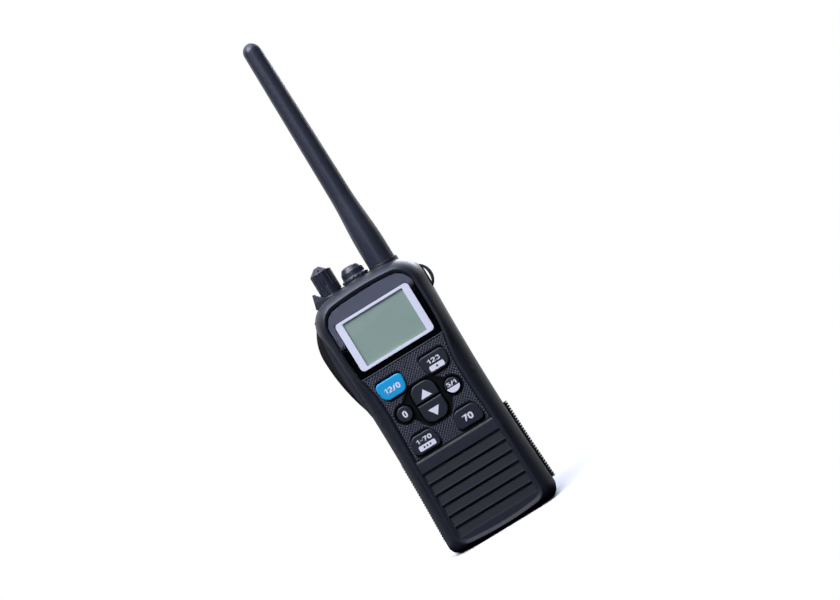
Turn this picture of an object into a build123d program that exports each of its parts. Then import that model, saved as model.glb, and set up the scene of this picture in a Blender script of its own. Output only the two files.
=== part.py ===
from build123d import *
import math
import os

os.makedirs("parts", exist_ok=True)

# A handheld VHF marine radio, in millimetres. It stands on its foot: +Z is up, the face looks along -Y and
# +X is at the viewer's right. The origin is the middle of the foot. "out" is a distance in front of the
# centre plane, so y = -out, and a negative out lies behind that plane.

# ---- clearances
slip = 0.05          # between fixed pieces that sit in each other
running = 0.05       # radial, round a shaft or pin
key_gap = 0.55       # round a moving key
soft_gap = 0.3       # beside rubber, springs and free pieces

seat_gap = 0.02      # radial, round a pressed-in pin or a screw in its pilot hole
merge = 0.2          # overlap of two solids that are one moulding
through = 1.0        # how far a cut runs past the wall it goes through

# ---- heights of the face, from the foot up
lip_height = 5.0
grille_height = 38.3
keypad_height = 43.1
window_height = 33.7
brow_height = 5.1
grille_top = lip_height + grille_height
window_foot = grille_top + keypad_height
face_top = window_foot + window_height
body_top = face_top + brow_height
waist_height = grille_top + 16.7

# ---- half widths of the outline, and its rounds
foot_half = 27.4
waist_half = 25.6
shoulder_half = 27.4
foot_round = 5.0
shoulder_round = 11.5
crown_drop = 3.0
rim_slope = 5.5      # from the side of the body to the crest of the rim, seen from the front
rim_foot = 3.4       # height of the crest above the foot, at its ends
rim_brow = 3.6       # depth of the crest below the crown
rim_round = 9.5
rim_foot_lean = 0.6  # more slope at the foot than at the shoulder
rim_waist_lean = 0.4
rim_crown_share = 0.65
recess_slope = 1.4   # from the crest down to the floor of the face
recess_waist = -0.3
recess_shoulder = 0.5
floor_crown_share = 0.55
floor_round = 8.2
floor_foot_round = 3.4
least_round = 0.8
foot_bow = 1.6       # the face's foot sinks by this much between its ends
face_swell = [       # height, and how far the face's side stands off its arc there
    (36.0, 0.0),
    (46.0, -0.25),
    (56.0, -0.75),
    (66.0, -1.2),
    (73.0, -1.2),
    (79.0, -0.6),
    (85.0, 0.5),
    (91.0, 1.15),
    (98.0, 1.3),
    (105.0, 1.05),
]
swell_foot = 18.0    # height of a point of the arc below the swell
head_z = 112.0       # height of a point of the arc above the swell
head_swell = 0.8     # how far that point stands off the plain arc
end_swell = 0.6      # the same at the arc's end

# ---- depths, in front of the centre plane
rim_out = 15.0
panel_drop = 0.5     # crest to grille panel
floor_drop = 1.0     # crest to keypad floor
step_height = 0.9    # of the slope between the two
front_wall = 1.8
side_start = 6.0     # where the sides begin to round towards the rim
side_steps = 9       # of the roll towards the rim
side_wall = 2.2
side_curve = 0.75    # power of the side's roll towards the rim: 0.5 is a true quarter ellipse
wall_lean = 0.1      # the side wall thickens by this much up to its bend, and by more at the face
wall_face = 2.3
wall_bend_out = 9.2
seal_edge = 0.5      # from the side of the body to the main seal
seal_wide = 0.9
seal_depth = 0.8
parting_back = 4.0   # the front housing ends this far behind the centre plane
panel_out = rim_out - panel_drop
floor_out = rim_out - floor_drop
inner_out = floor_out - front_wall
parting_out = -parting_back

# ---- grille
louvre_count = 6
louvre_pitch = 5.35
louvre_first = 4.9   # from the top of the grille to the first louvre
louvre_half = 19.3
louvre_depth = 0.8
louvre_height = 4.9
slot_height = 1.1
slot_sill = 0.1
slot_circle = 15.2
slot_rib = 1.4
speaker_height = grille_top - louvre_first - (louvre_count - 1) * louvre_pitch / 2 - 0.35

# ---- loudspeaker
speaker_half = 16.6
membrane_thick = 0.2
gasket_high = 0.5
gasket_wide = 1.8
frame_high = 3.4
frame_rim = 1.0      # thickness of the basket's rim
frame_metal = 0.8
frame_lip = 2.2      # width of the rim, then of the cone's surround inside it
frame_seat = 2.6
frame_waist = 9.4    # radius of the basket's back, and of the hole for the voice coil
frame_hole = 4.6
cone_metal = 0.3
cone_surround = 0.8
cone_coil = 4.4
cone_depth = 1.9
cap_depth = 1.2
magnet_half = 9.2
magnet_high = 3.6
magnet_bevel = 0.4

# ---- microphone, behind the right end of the lowest louvre
mic_x = 16.4
mic_hole = 0.45
mic_off_x = 0.8      # from the hole to the capsule's axis
mic_off_z = 2.2
boot_half = 2.6
boot_high = 2.6
boot_wall = 0.8
capsule_half = 2.0

# ---- keys
key_rise = 1.1       # of a key's crown above the keypad floor
key_travel = 0.6
key_round = 0.6
key_flange = 0.85
key_flange_thick = 0.8
key_stem = 1.5
key_tab = 2.4        # height of the flange's tabs, which hold the key behind the wall
dome_height = 0.3
mat_thick = 1.2
stem_room = 1.0      # of the mat's holes round the stems
board_below_keys = 5.4
key_column = 10.8    # from the centre line to the middle of a large key
round_column = 12.0
round_key = 3.6
wedge_half = 6.45
wedge_narrow = 5.6
wedge_height = 8.6
wedge_bend_share = 0.1
wedge_round = 2.2
wedge_cut_round = 3.4
row_low = grille_top + 6.7
row_mid = grille_top + 21.3
row_high = grille_top + 34.0
rocker_half = 5.95
rocker_high = 8.45   # of the up key
rocker_low = 9.75    # of the down key
rocker_split = 0.3   # from the dividing line to each key
rocker_round = 4.5
well_depth = 0.5     # of the dark field round the middle keys
well_half = 4.4      # round each round key
well_corners = [     # of its right half, from the middle row, up and round
    (4.9, -rocker_low - 0.7),
    (9.6, -3.75),
    (10.6, 4.15),
    (4.7, rocker_high + 0.7),
]

# ---- window and display
lens_thick = 1.2
lens_proud = 0.2
print_thick = 0.15
lens_round = 8.0
window_side_gap = 0.35
window_top_gap = 0.25
lens_foot = 0.2      # above the keypad field
lens_bevel = 0.25
bezel_half = 18.35
bezel_foot = 2.85    # from the window's foot to the bezel's
bezel_height = 23.7
bezel_thick = 0.7
bezel_round = 1.8
glass_half = 15.1
glass_foot = 1.35    # from the bezel's foot to the glass seen in it
glass_height = 21.1
lcd_margin = 2.4
lcd_thick = 1.5
lcd_gap = 0.1
lcd_lip = 0.4        # of the backlight beyond the glass

# ---- boards
logic_out = 9.2
logic_thick = 1.0
board_half = 18.8
rf_out = 1.6
rf_thick = 1.0
rf_foot = 9.0
rf_top = 108.0
shield_thick = 0.4
shield_height = 3.6
shield_x = (-14.4, 16.8)
shield_z = (50.0, 102.0)
chip_half = 6.0
chip_thick = 1.2
chip_z = 70.0
connector_half = 8.0
connector_z = (0.6, 4.4)   # above the foot of the logic board

# ---- screws
screw_shank = 1.0
screw_head = 2.0
screw_head_high = 1.0
screw_length = 8.0
screw_room = 0.1     # radial, round a screw that passes a board or the chassis
screw_slot = (2.6, 0.5)   # length and width of each arm of the cross
screw_slot_deep = 0.5
boss_round = 2.2
chassis_screws_in = [(4.8, 7.0), (4.3, 66.0), (7.5, 117.3)]   # from the side of the body, and height
board_screw_head = 1.5
board_screw_high = 0.8
logic_screw_in = 1.6   # from the edge of the board
logic_screw_low = 7.6  # above the lowest row of keys
logic_screw_high = 1.2 # below the window
rf_screw_in = 2.2
rf_screw_end = 3.0

# ---- controls on the top
controls_out = 2.6
volume_x = -12.4
squelch_x = -0.2
antenna_x = 13.1
control_deck = body_top + 0.3
volume_deck_half = 5.6
squelch_deck_half = 6.8
antenna_deck_half = 7.1
volume_half = 5.0
volume_height = 13.0
squelch_half = 6.4
squelch_height = 6.3
knob_gap = 0.3
volume_profile = [(0.0, 13.0), (0.0, 2.8), (0.3, 2.4), (3.2, 0.15), (3.6, 0.0)]   # from side and top
squelch_profile = [(0.0, 0.0), (0.0, 0.7), (0.9, 1.5), (1.2, 3.8), (2.4, 5.8), (3.6, 6.3)]
flute_count = 12
flute_half = 0.42
flute_out = 0.15
flute_foot = 3.6
index_groove = (0.9, 3.2, 5.0)
scallop_count = 16
scallop_half = 0.75
scallop_out = 0.35
shaft_half = 2.0
bushing_wall = 0.9
bushing_half = shaft_half + running + bushing_wall
pot_half = 4.7
pot_height = 6.0
pot_depth = 9.0
shaft_in_pot = 3.0
shaft_rise = 5.0
shaft_bevel = 0.3
seal_height = 0.6
seat_half = 4.6
deck_depth = 5.6     # from the top of the body down to the seals' seats
inner_deck = body_top - deck_depth

# ---- guard horn beside the tall knob: points from the knob's axis and the top of the body
horn_out = 10.0
horn_gap = 0.7       # between the knob and the horn
horn_back = [(-9.2, -2.4), (-7.5, 3.7)]
horn_tip = [(-7.5, 3.7), (-7.1, 4.0), (-6.6, 3.6)]
horn_slope = [(-6.6, 3.6), (-4.1, 1.0), (0.6, -0.3)]
horn_foot = [(0.6, -0.3), (0.6, -5.0), (-5.0, -5.0), (-9.2, -2.4)]

# ---- antenna
antenna_base_half = 6.25
antenna_neck_half = 4.9
antenna_tip_half = 4.2
antenna_base_rise = 8.0
antenna_neck_rise = 36.0
antenna_ease = 9.5   # of the curve between the base and the neck
antenna_length = 111.4
stud_half = 2.9
stud_rise = 8.0
stud_flange = 4.1
stud_flange_thick = 2.0
stud_bevel = 0.5
insert_half = 4.6
insert_rise = 9.6
insert_cap = 1.2
whip_half = 1.6
whip_length = 96.0
gasket_thick = 0.5
gasket_proud = 0.15

# ---- push-to-talk key on the left side
talk_foot = 72.6
talk_top = 116.4
talk_proud = 4.4     # of its crown beyond the side of the body
talk_crown = 100.8
talk_root = 0.6      # depth at which its ends meet the side
talk_high = 6.4      # a point of its upper curve below its top, and that point's share of the bulge
talk_high_share = 0.68
talk_low = 12.6      # and of its lower curve, below the crown
talk_low_share = 0.76
talk_edge_round = 1.2
talk_flange_high = 3.4
talk_flange_low = 2.0
talk_nub = 0.5       # of the nub that meets the switch
talk_nub_half = 1.1
talk_nub_z = (93.0, 97.0)
talk_nub_out = 2.7
switch_size = (4.3, 3.4, 7.0)
plunger_long = 0.7
plunger_wide = 1.6
talk_front = 7.0
talk_back = -2.0
talk_travel = 1.0
talk_in = 2.8        # from its side to the flat inside of the wall
talk_seal = 0.5
talk_seal_edge = 1.5   # of the seal beyond the opening
talk_flange = 0.8
lip_proud = 1.1      # of the raised lip round the key
lip_wide = 1.0
lip_foot = 2.4       # from the key's foot to the lip's
lip_top = 2.2
lip_root = 1.0       # depth at which the lip's ends meet the side

# ---- strap loop on the right side
strap_z = 111.0
loop_half_high = 5.7
loop_reach = 2.7     # of its crown beyond the side of the body
loop_wall = 1.5
loop_half_thick = 1.0
loop_tab = 4.0       # of the tab that goes into the body
loop_tab_half = 2.6
loop_eye_in = 0.4    # from the side of the body to the eye
loop_eye_end = 0.5

# ---- chassis and battery
chassis_plate = 1.2
hump_foot = 88.2
hump_back = 15.3
pack_gap = 0.3       # between the chassis plate and the battery
pack_back = 15.5
pack_top = 87.6
pack_wall = 1.2
pack_cover = 1.0
pack_inset = 0.4
grip_foot = 6.5
grip_top = 45.5
grip_proud = 1.5
groove_deep = 0.7
grip_pitch = 1.3
cell_half = 11.2
cell_length = 64.0
latch_half = 8.6
pivot_y = 7.0

hump_round = [(0.56, 0.4), (0.27, 1.4), (0.1, 3.0)]   # share of its depth from its back, and inset there
hump_inset = 5.2
hump_wall = 1.8
hump_pocket_half = 15.6
hump_pocket_z = (97.0, 120.0)
lug_high = 1.8
lug_front = 1.0
lug_back = 0.8
lug_room = 0.9
lug_x = (11.0, 19.0)
shelf_half = 6.0
shelf_back = 13.0
shelf_thick = 1.2
catch_front = 7.0
catch_rise = 1.6
catch_inset = 1.0
contact_z = (75.0, 82.0)
contact_half = 8.6
contact_columns = (-5.0, 0.0, 5.0)
pin_half = 0.6
pad_size = (3.2, 5.6)
pad_thick = 0.4
ledge = 1.4          # round the hollow, for the battery's cover
cell_foot = 15.5
cell_room = 0.2
cell_round = 1.6
pack_round = [(0.5, 0.3, 0.5), (0.27, 1.3, 1.2), (0.1, 2.9, 2.2)]   # share of depth, inset, drop of the top
pack_back_inset = 5.4
pack_back_drop = 4.2
pack_foot_share = 0.8
grip_back = 10.4
groove_share = 0.42  # of the pitch

# ---- battery latch
latch_top = 7.6
latch_room = 0.3
latch_pocket = 13.4
latch_y = (9.6, 15.0)
latch_ribs = 3
latch_rib_pitch = 1.3
latch_rib_high = 0.6
latch_rib_proud = 0.4
latch_rib_foot = 0.7
latch_rib_inset = 1.5
notch_room = 0.5
tongue_inset = 1.6
catch_gap = 0.15
spring_half = 1.5
spring_wire = 0.3
spring_pitch = 1.6

# ---- belt clip
clip_half = 8.0
clip_pin_z = 77.0
clip_pin_y = 18.3
clip_thick = 1.8
clip_gap = 4.7       # between the battery and the arm
clip_foot = 20.0
clip_top = 86.0
clip_screw_shank = 0.7
clip_screw_head = 1.3
clip_screw_length = 4.0
clip_boss = 1.6
clip_screws_at = [(-5.0, 81.4), (5.0, 81.4)]
clip_screw_slot = (1.8, 0.4)
clip_screw_slot_deep = 0.3
base_thick = 1.0
base_below = 7.0     # of the base under the pin, and above it
base_above = 6.2
ear_half = 6.2
ear_thick = 1.6
ear_round = 1.5
pin_radius = 0.8
hub_gap = 0.2
hub_half = 1.5
hub_inner = 1.7
clip_profile = [     # of the arm from its foot: from its inner face and its foot
    (0.0, 3.0),
    (-1.3, 1.4),
    (-1.3, 0.0),
    (0.6, 0.0),
    (1.8, 2.4),
]
coil_room = 0.1
coil_end = 0.5
coil_pitch = 0.6
clip_wire = 0.25

plate_out = parting_out - chassis_plate
pack_out = plate_out - pack_gap

body_edge = (foot_half, waist_half, shoulder_half, 0.0, body_top, crown_drop, foot_round, shoulder_round)
rim_edge = (
    foot_half - rim_slope - rim_foot_lean,
    waist_half - rim_slope + rim_waist_lean,
    shoulder_half - rim_slope,
    rim_foot,
    body_top - rim_brow,
    crown_drop * rim_crown_share,
    foot_round,
    rim_round,
)
floor_edge = (
    rim_edge[0] - recess_slope,
    rim_edge[1] - recess_slope - recess_waist,
    rim_edge[2] - recess_slope + recess_shoulder,
    lip_height,
    face_top,
    crown_drop * floor_crown_share,
    floor_foot_round,
    floor_round,
)


def blend_edges(first, second, share):
    """The outline that lies the given share of the way from one outline to another."""
    return tuple(a + (b - a) * share for a, b in zip(first, second))


def shrink(edge, inset):
    """The same outline, moved inwards all round."""
    foot_x, waist_x, shoulder_x, foot_z, top_z, drop, low_round, high_round = edge
    return (
        foot_x - inset,
        waist_x - inset,
        shoulder_x - inset,
        foot_z + inset,
        top_z - inset,
        drop,
        max(low_round - inset, least_round),
        max(high_round - inset, least_round),
    )


def arc_half(edge, z):
    """Half width of an outline at a height, on the arc through its foot, its waist and its shoulder."""
    foot_x, waist_x, shoulder_x, foot_z, top_z, drop, low_round, high_round = edge
    (x1, z1), (x2, z2), (x3, z3) = ((foot_x, foot_z), (waist_x, waist_height), (shoulder_x, top_z - drop))
    twice = 2 * (x1 * (z2 - z3) + x2 * (z3 - z1) + x3 * (z1 - z2))
    s1, s2, s3 = x1 * x1 + z1 * z1, x2 * x2 + z2 * z2, x3 * x3 + z3 * z3
    middle_x = (s1 * (z2 - z3) + s2 * (z3 - z1) + s3 * (z1 - z2)) / twice
    middle_z = (s1 * (x3 - x2) + s2 * (x1 - x3) + s3 * (x2 - x1)) / twice
    radius = math.hypot(x1 - middle_x, z1 - middle_z)
    return middle_x - math.sqrt(radius**2 - (z - middle_z) ** 2)


def plain_lines(edge):
    """The four lines of the body's outline: flat foot, waisted sides, crowned top."""
    foot_x, waist_x, shoulder_x, foot_z, top_z, drop, low_round, high_round = edge
    side_top = top_z - drop
    Line((-foot_x, foot_z), (foot_x, foot_z))
    for side in (1, -1):
        ThreePointArc((side * foot_x, foot_z), (side * waist_x, waist_height), (side * shoulder_x, side_top))
    ThreePointArc((shoulder_x, side_top), (0, top_z), (-shoulder_x, side_top))


def face_lines(edge, share):
    """The same for the face, with a share of its bowed foot and of its swell round the window."""
    foot_x, waist_x, shoulder_x, foot_z, top_z, drop, low_round, high_round = edge
    side_top = top_z - drop
    end_x = shoulder_x + share * end_swell
    if share > 0:
        ThreePointArc((-foot_x, foot_z), (0, foot_z - share * foot_bow), (foot_x, foot_z))
    else:
        Line((-foot_x, foot_z), (foot_x, foot_z))
    for side in (1, -1):
        points = [(side * (arc_half(edge, z) + share * swell), z) for z, swell in face_swell]
        foot = (side * arc_half(edge, swell_foot), swell_foot)
        low = ThreePointArc((side * foot_x, foot_z), foot, points[0])
        head = (side * (arc_half(edge, head_z) + share * head_swell), head_z)
        high = ThreePointArc(points[-1], head, (side * end_x, side_top))
        Spline(points, tangents=(low % 1, high % 0))
    ThreePointArc((end_x, side_top), (0, top_z), (-end_x, side_top))


def outline(edge, out, above=None, below=None, swell=None):
    """Front-view outline on the plane at the given out, with rounded corners. It can be cut off at a height,
    and is drawn as an outline of the face when it is given a share of the swell."""
    half = edge[0]
    low_round, high_round = edge[-2:]
    with BuildSketch(Plane.XZ.offset(out)) as sketch:
        with BuildLine():
            if swell is None:
                plain_lines(edge)
            else:
                face_lines(edge, swell)
        make_face()
        fillet(vertices().group_by(Axis.Y)[0], low_round)
        fillet(vertices().group_by(Axis.Y)[-1], high_round)
        if above is not None:
            with Locations((0, above)):
                Rectangle(4 * half, 2 * body_top, align=(Align.CENTER, Align.MIN), mode=Mode.INTERSECT)
        if below is not None:
            with Locations((0, below)):
                Rectangle(4 * half, 2 * body_top, align=(Align.CENTER, Align.MAX), mode=Mode.INTERSECT)
    return sketch.sketch


def block(across, outs, heights, mode=Mode.ADD):
    """A box between two values of x, of out and of z."""
    centre = (sum(across) / 2, -sum(outs) / 2, sum(heights) / 2)
    with Locations(centre):
        Box(
            abs(across[1] - across[0]),
            abs(outs[1] - outs[0]),
            abs(heights[1] - heights[0]),
            mode=mode,
        )


def discs(spots, radius, outs, mode=Mode.ADD):
    """Cylinders that point out of the face, one at each (x, z), between two outs."""
    with BuildSketch(Plane.XZ.offset(min(outs))) as sketch:
        with Locations(*spots):
            Circle(radius)
    extrude(sketch.sketch, amount=abs(outs[1] - outs[0]), mode=mode)


def posts(places, heights, mode=Mode.ADD):
    """Upright cylinders, one at each (x, radius) in line with the controls, between two heights."""
    with BuildSketch(Plane.XY.offset(min(heights))) as sketch:
        for x, radius in places:
            with Locations((x, -controls_out)):
                Circle(radius)
    extrude(sketch.sketch, amount=abs(heights[1] - heights[0]), mode=mode)


def facing_back(x, y, z):
    """A plane whose normal points out of the back."""
    return Plane((x, y, z), x_dir=(1, 0, 0), z_dir=(0, 1, 0))


def seal_ring(out, grow=0.0):
    """The path of the main seal: a band that runs inside the edge of the body."""
    with BuildSketch(Plane.XZ.offset(out)) as sketch:
        add(outline(shrink(body_edge, seal_edge - grow), out))
        add(outline(shrink(body_edge, seal_edge + seal_wide + grow), out), mode=Mode.SUBTRACT)
    return sketch.sketch


def side_share(out):
    """How far the side has leaned in towards the rim at a given out: 0 on the side, 1 on the crest."""
    along = max(0.0, (out - side_start) / (rim_out - side_start))
    return 1 - (1 - along * along) ** side_curve


def side_at(z):
    """Half width of the body at a height."""
    return arc_half(body_edge, z)


# ---- keys: name, x, z and form
keys = [
    ("key_sixteen", -key_column, row_high, "wedge_down"),
    ("key_star", key_column, row_high, "wedge_down"),
    ("key_function", -round_column, row_mid, "round"),
    ("key_power", round_column, row_mid, "round"),
    ("key_up", 0.0, row_mid, "up"),
    ("key_down", 0.0, row_mid, "down"),
    ("key_scan", -key_column, row_low, "wedge_up"),
    ("key_channel", key_column, row_low, "wedge_up"),
]


def wedge_points(x, z, facing):
    """A key with straight shoulders on one side and corners cut well back on the other."""
    high = z + facing * wedge_height / 2
    bend = z + facing * wedge_height * wedge_bend_share
    low = z - facing * wedge_height / 2
    return [
        (x - wedge_half, high),
        (x - wedge_half, bend),
        (x - wedge_narrow, low),
        (x + wedge_narrow, low),
        (x + wedge_half, bend),
        (x + wedge_half, high),
    ]


def rocker_points(x, z, facing, height):
    """One half of the middle pair: square at the dividing line, round at its far end."""
    near = z + facing * rocker_split
    far = z + facing * height
    return [(x - rocker_half, near), (x - rocker_half, far), (x + rocker_half, far), (x + rocker_half, near)]


def key_outline(x, z, form, out, grow=0.0):
    """A key's outline on the plane at the given out, grown all round by a margin."""
    facing = 1 if form in ("wedge_down", "up") else -1
    with BuildSketch(Plane.XZ.offset(out)) as sketch:
        if form == "round":
            with Locations((x, z)):
                Circle(round_key)
        elif form in ("wedge_down", "wedge_up"):
            with BuildLine():
                Polyline(wedge_points(x, z, facing), close=True)
            make_face()
            square_row, cut_row = (-1, 0) if facing > 0 else (0, -1)
            fillet(vertices().group_by(Axis.Y)[square_row], wedge_round)
            fillet(vertices().group_by(Axis.Y)[cut_row], wedge_cut_round)
        else:
            height = rocker_high if form == "up" else rocker_low
            with BuildLine():
                Polyline(rocker_points(x, z, facing, height), close=True)
            make_face()
            fillet(vertices().group_by(Axis.Y)[-1 if facing > 0 else 0], rocker_round)
        if grow:
            offset(amount=grow)
    return sketch.sketch


def stem_height(z, form):
    """Where a key's stem stands: in the middle of the key."""
    return z + {"up": rocker_high / 2, "down": -rocker_low / 2}.get(form, 0.0)


chassis_screws_at = [(side * (side_at(z) - inset), z) for inset, z in chassis_screws_in for side in (-1, 1)]
logic_screws_at = [
    (side * (board_half - logic_screw_in), z)
    for z in (row_low + logic_screw_low, window_foot - logic_screw_high)
    for side in (-1, 1)
]
rf_screws_at = [
    (side * (board_half - rf_screw_in), z)
    for z in (rf_foot + rf_screw_end, rf_top - rf_screw_end)
    for side in (-1, 1)
]

# ======================================================================== front housing
louvre_tops = [grille_top - louvre_first - i * louvre_pitch for i in range(louvre_count)]
side_stations = [parting_out] + [
    side_start + (rim_out - side_start) * math.sin(i * math.pi / 2 / side_steps)
    for i in range(side_steps + 1)
]
talk_side = side_at(talk_crown)
talk_inner = talk_side - talk_in


def talk_profile(plane_out):
    """Front view of the push-to-talk key: bulged outside, flat inside."""
    crown_x = -(talk_side + talk_proud)
    root_x = -talk_side + talk_root
    with BuildSketch(Plane.XZ.offset(plane_out)) as sketch:
        with BuildLine():
            ThreePointArc(
                (root_x, talk_top),
                (-(talk_side + talk_proud * talk_high_share), talk_top - talk_high),
                (crown_x, talk_crown),
            )
            ThreePointArc(
                (crown_x, talk_crown),
                (-(talk_side + talk_proud * talk_low_share), talk_crown - talk_low),
                (root_x, talk_foot),
            )
            Line((root_x, talk_foot), (-talk_inner, talk_foot))
            Line((-talk_inner, talk_foot), (-talk_inner, talk_top))
            Line((-talk_inner, talk_top), (root_x, talk_top))
        make_face()
    return sketch.sketch


with BuildPart() as front_housing:
    loft(
        [
            outline(blend_edges(body_edge, rim_edge, side_share(out)), out, swell=side_share(out))
            for out in side_stations
        ],
        ruled=True,
    )
    # the hollow behind the face
    cavity_stations = [
        (parting_out - through, side_wall),
        (wall_bend_out, side_wall + wall_lean),
        (inner_out, side_wall + wall_face),
    ]
    loft(
        [outline(shrink(body_edge, inset), out) for out, inset in cavity_stations],
        ruled=True,
        mode=Mode.SUBTRACT,
    )
    # the sunk face: the grille panel, then the keypad and window field a step deeper
    loft([outline(floor_edge, panel_out, swell=1), outline(rim_edge, rim_out, swell=1)], mode=Mode.SUBTRACT)
    extrude(
        outline(floor_edge, floor_out, above=grille_top, swell=1),
        amount=panel_drop + merge,
        mode=Mode.SUBTRACT,
    )
    step_half = floor_edge[1] + through
    with BuildSketch(Plane.YZ.offset(-step_half)) as step:
        with BuildLine():
            Polyline(
                (-floor_out, grille_top - merge),
                (-panel_out, grille_top - merge),
                (-panel_out, grille_top),
                (-floor_out, grille_top + step_height),
                close=True,
            )
        make_face()
    extrude(step.sketch, amount=2 * step_half)
    # decks under the knobs and the antenna, and flat seats for the seals inside
    posts(
        [(volume_x, volume_deck_half), (squelch_x, squelch_deck_half), (antenna_x, antenna_deck_half)],
        (body_top - side_wall, control_deck),
    )
    posts([(x, seat_half) for x in (volume_x, squelch_x, antenna_x)], (inner_deck, body_top - side_wall / 2))
    # screw bosses
    discs(chassis_screws_at, boss_round, (parting_out, inner_out + merge))
    discs(logic_screws_at, boss_round, (logic_out, inner_out + merge))
    # flat inside for the push-to-talk key, and the raised lip round it
    block(
        (-talk_inner, -talk_side + lip_root),
        (parting_out, talk_front + talk_seal_edge + key_gap),
        (talk_foot - lip_top, talk_top + talk_seal_edge),
    )
    lip_out = talk_front + key_gap + lip_wide
    with BuildSketch(Plane.XZ.offset(talk_back - key_gap - lip_wide)) as lip:
        with BuildLine():
            ThreePointArc(
                (-talk_side + lip_root, talk_top + lip_top),
                (-talk_side - lip_proud, talk_crown),
                (-talk_side + lip_root, talk_foot - lip_foot),
            )
            Line((-talk_side + lip_root, talk_foot - lip_foot), (-talk_inner, talk_foot - lip_foot))
            Line((-talk_inner, talk_foot - lip_foot), (-talk_inner, talk_top + lip_top))
            Line((-talk_inner, talk_top + lip_top), (-talk_side + lip_root, talk_top + lip_top))
        make_face()
    extrude(lip.sketch, amount=lip_out - (talk_back - key_gap - lip_wide))
    # the guard horn beside the tall knob
    with BuildSketch(Plane.XZ.offset(parting_out)) as horn:
        with BuildLine():
            Polyline([(volume_x + x, body_top + z) for x, z in horn_back])
            ThreePointArc(*[(volume_x + x, body_top + z) for x, z in horn_tip])
            ThreePointArc(*[(volume_x + x, body_top + z) for x, z in horn_slope])
            Polyline([(volume_x + x, body_top + z) for x, z in horn_foot])
        make_face()
    extrude(horn.sketch, amount=horn_out - parting_out)
    posts(
        [(volume_x, volume_half + horn_gap)],
        (control_deck, control_deck + volume_height),
        mode=Mode.SUBTRACT,
    )
    # openings for the controls
    posts(
        [(volume_x, bushing_half + slip), (squelch_x, bushing_half + slip), (antenna_x, stud_half + slip)],
        (inner_deck - through, control_deck + through),
        mode=Mode.SUBTRACT,
    )
    # key openings, and the dark sunk field that joins the round keys to the middle pair
    with BuildSketch(Plane.XZ.offset(floor_out - well_depth)) as well:
        with Locations((-round_column, row_mid), (round_column, row_mid)):
            Circle(well_half)
        with BuildLine():
            Polyline(
                [(side * x, row_mid + z) for side, corners in ((-1, well_corners), (1, well_corners[::-1]))
                 for x, z in corners],
                close=True,
            )
        make_face()
    extrude(well.sketch, amount=well_depth + through, mode=Mode.SUBTRACT)
    for name, x, z, form in keys:
        extrude(
            key_outline(x, z, form, inner_out - through, key_gap),
            amount=front_wall + 2 * through,
            mode=Mode.SUBTRACT,
        )
    # window pocket, with an opening behind it for the display
    pocket_out = floor_out + lens_proud - lens_thick - print_thick
    lens_edge = (
        floor_edge[0],
        floor_edge[1],
        floor_edge[2] - window_side_gap,
        floor_edge[3],
        face_top - window_top_gap,
        floor_edge[5],
        floor_edge[6],
        lens_round,
    )
    extrude(
        outline(shrink(lens_edge, -slip), pocket_out, above=window_foot + lens_foot - slip, swell=1),
        amount=lens_thick + through,
        mode=Mode.SUBTRACT,
    )
    bezel_z = window_foot + bezel_foot
    block(
        (-bezel_half - slip, bezel_half + slip),
        (inner_out - through, pocket_out + merge),
        (bezel_z - slip, bezel_z + bezel_height + slip),
        mode=Mode.SUBTRACT,
    )
    # louvres: a straight drop at the top of each, a ramp back to the panel below it, slots to the speaker
    for top in louvre_tops:
        with BuildSketch(Plane.YZ.offset(-louvre_half)) as louvre:
            with BuildLine():
                Polyline(
                    (-panel_out - through, top),
                    (-panel_out + louvre_depth, top),
                    (-panel_out + louvre_depth, top - slot_height - slot_sill),
                    (-panel_out, top - louvre_height),
                    (-panel_out - through, top - louvre_height),
                    close=True,
                )
            make_face()
        extrude(louvre.sketch, amount=2 * louvre_half, mode=Mode.SUBTRACT)
        slot_middle = top - slot_height / 2
        reach_left = slot_circle**2 - (slot_middle - speaker_height) ** 2
        if reach_left > (2 * slot_rib) ** 2:
            reach = math.sqrt(reach_left)
            for side in (-1, 1):
                block(
                    (side * slot_rib / 2, side * reach),
                    (inner_out - through, panel_out),
                    (top - slot_height, top - slot_sill),
                    mode=Mode.SUBTRACT,
                )
    # microphone hole in the lowest louvre
    mic_z = louvre_tops[-1] - slot_height / 2 - slot_sill
    discs([(mic_x, mic_z)], mic_hole, (inner_out - through, panel_out), mode=Mode.SUBTRACT)
    # room for the push-to-talk seal, the key's opening, and the strap loop's slot
    block(
        (-talk_inner, -talk_inner + talk_seal + soft_gap),
        (talk_back - talk_seal_edge - slip, talk_front + talk_seal_edge + slip),
        (talk_foot - talk_seal_edge - slip, talk_top + talk_seal_edge + slip),
        mode=Mode.SUBTRACT,
    )
    block(
        (-talk_side - talk_proud - through, -talk_inner + lip_root + through),
        (talk_back - key_gap, talk_front + key_gap),
        (talk_foot - key_gap, talk_top + key_gap),
        mode=Mode.SUBTRACT,
    )
    loop_side = side_at(strap_z)
    block(
        (loop_side - loop_tab - slip, loop_side + through),
        (-loop_half_thick - slip, loop_half_thick + slip),
        (strap_z - loop_tab_half - slip, strap_z + loop_tab_half + slip),
        mode=Mode.SUBTRACT,
    )
    # screw holes
    pilot = screw_shank + seat_gap
    discs(chassis_screws_at, pilot, (parting_out, parting_out + screw_length), mode=Mode.SUBTRACT)
    discs(logic_screws_at, pilot, (logic_out, inner_out - merge), mode=Mode.SUBTRACT)
    # seal groove in the rear edge, and nothing behind that edge
    extrude(seal_ring(parting_out, slip), amount=seal_depth + slip, mode=Mode.SUBTRACT)
    block(
        (-2 * foot_half, 2 * foot_half),
        (parting_out - pack_back, parting_out),
        (body_top - crown_drop - shoulder_round, body_top + volume_height),
        mode=Mode.SUBTRACT,
    )
front_housing.part.label = "front_housing"
export_step(front_housing.part, "parts/front_housing.step")

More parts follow.
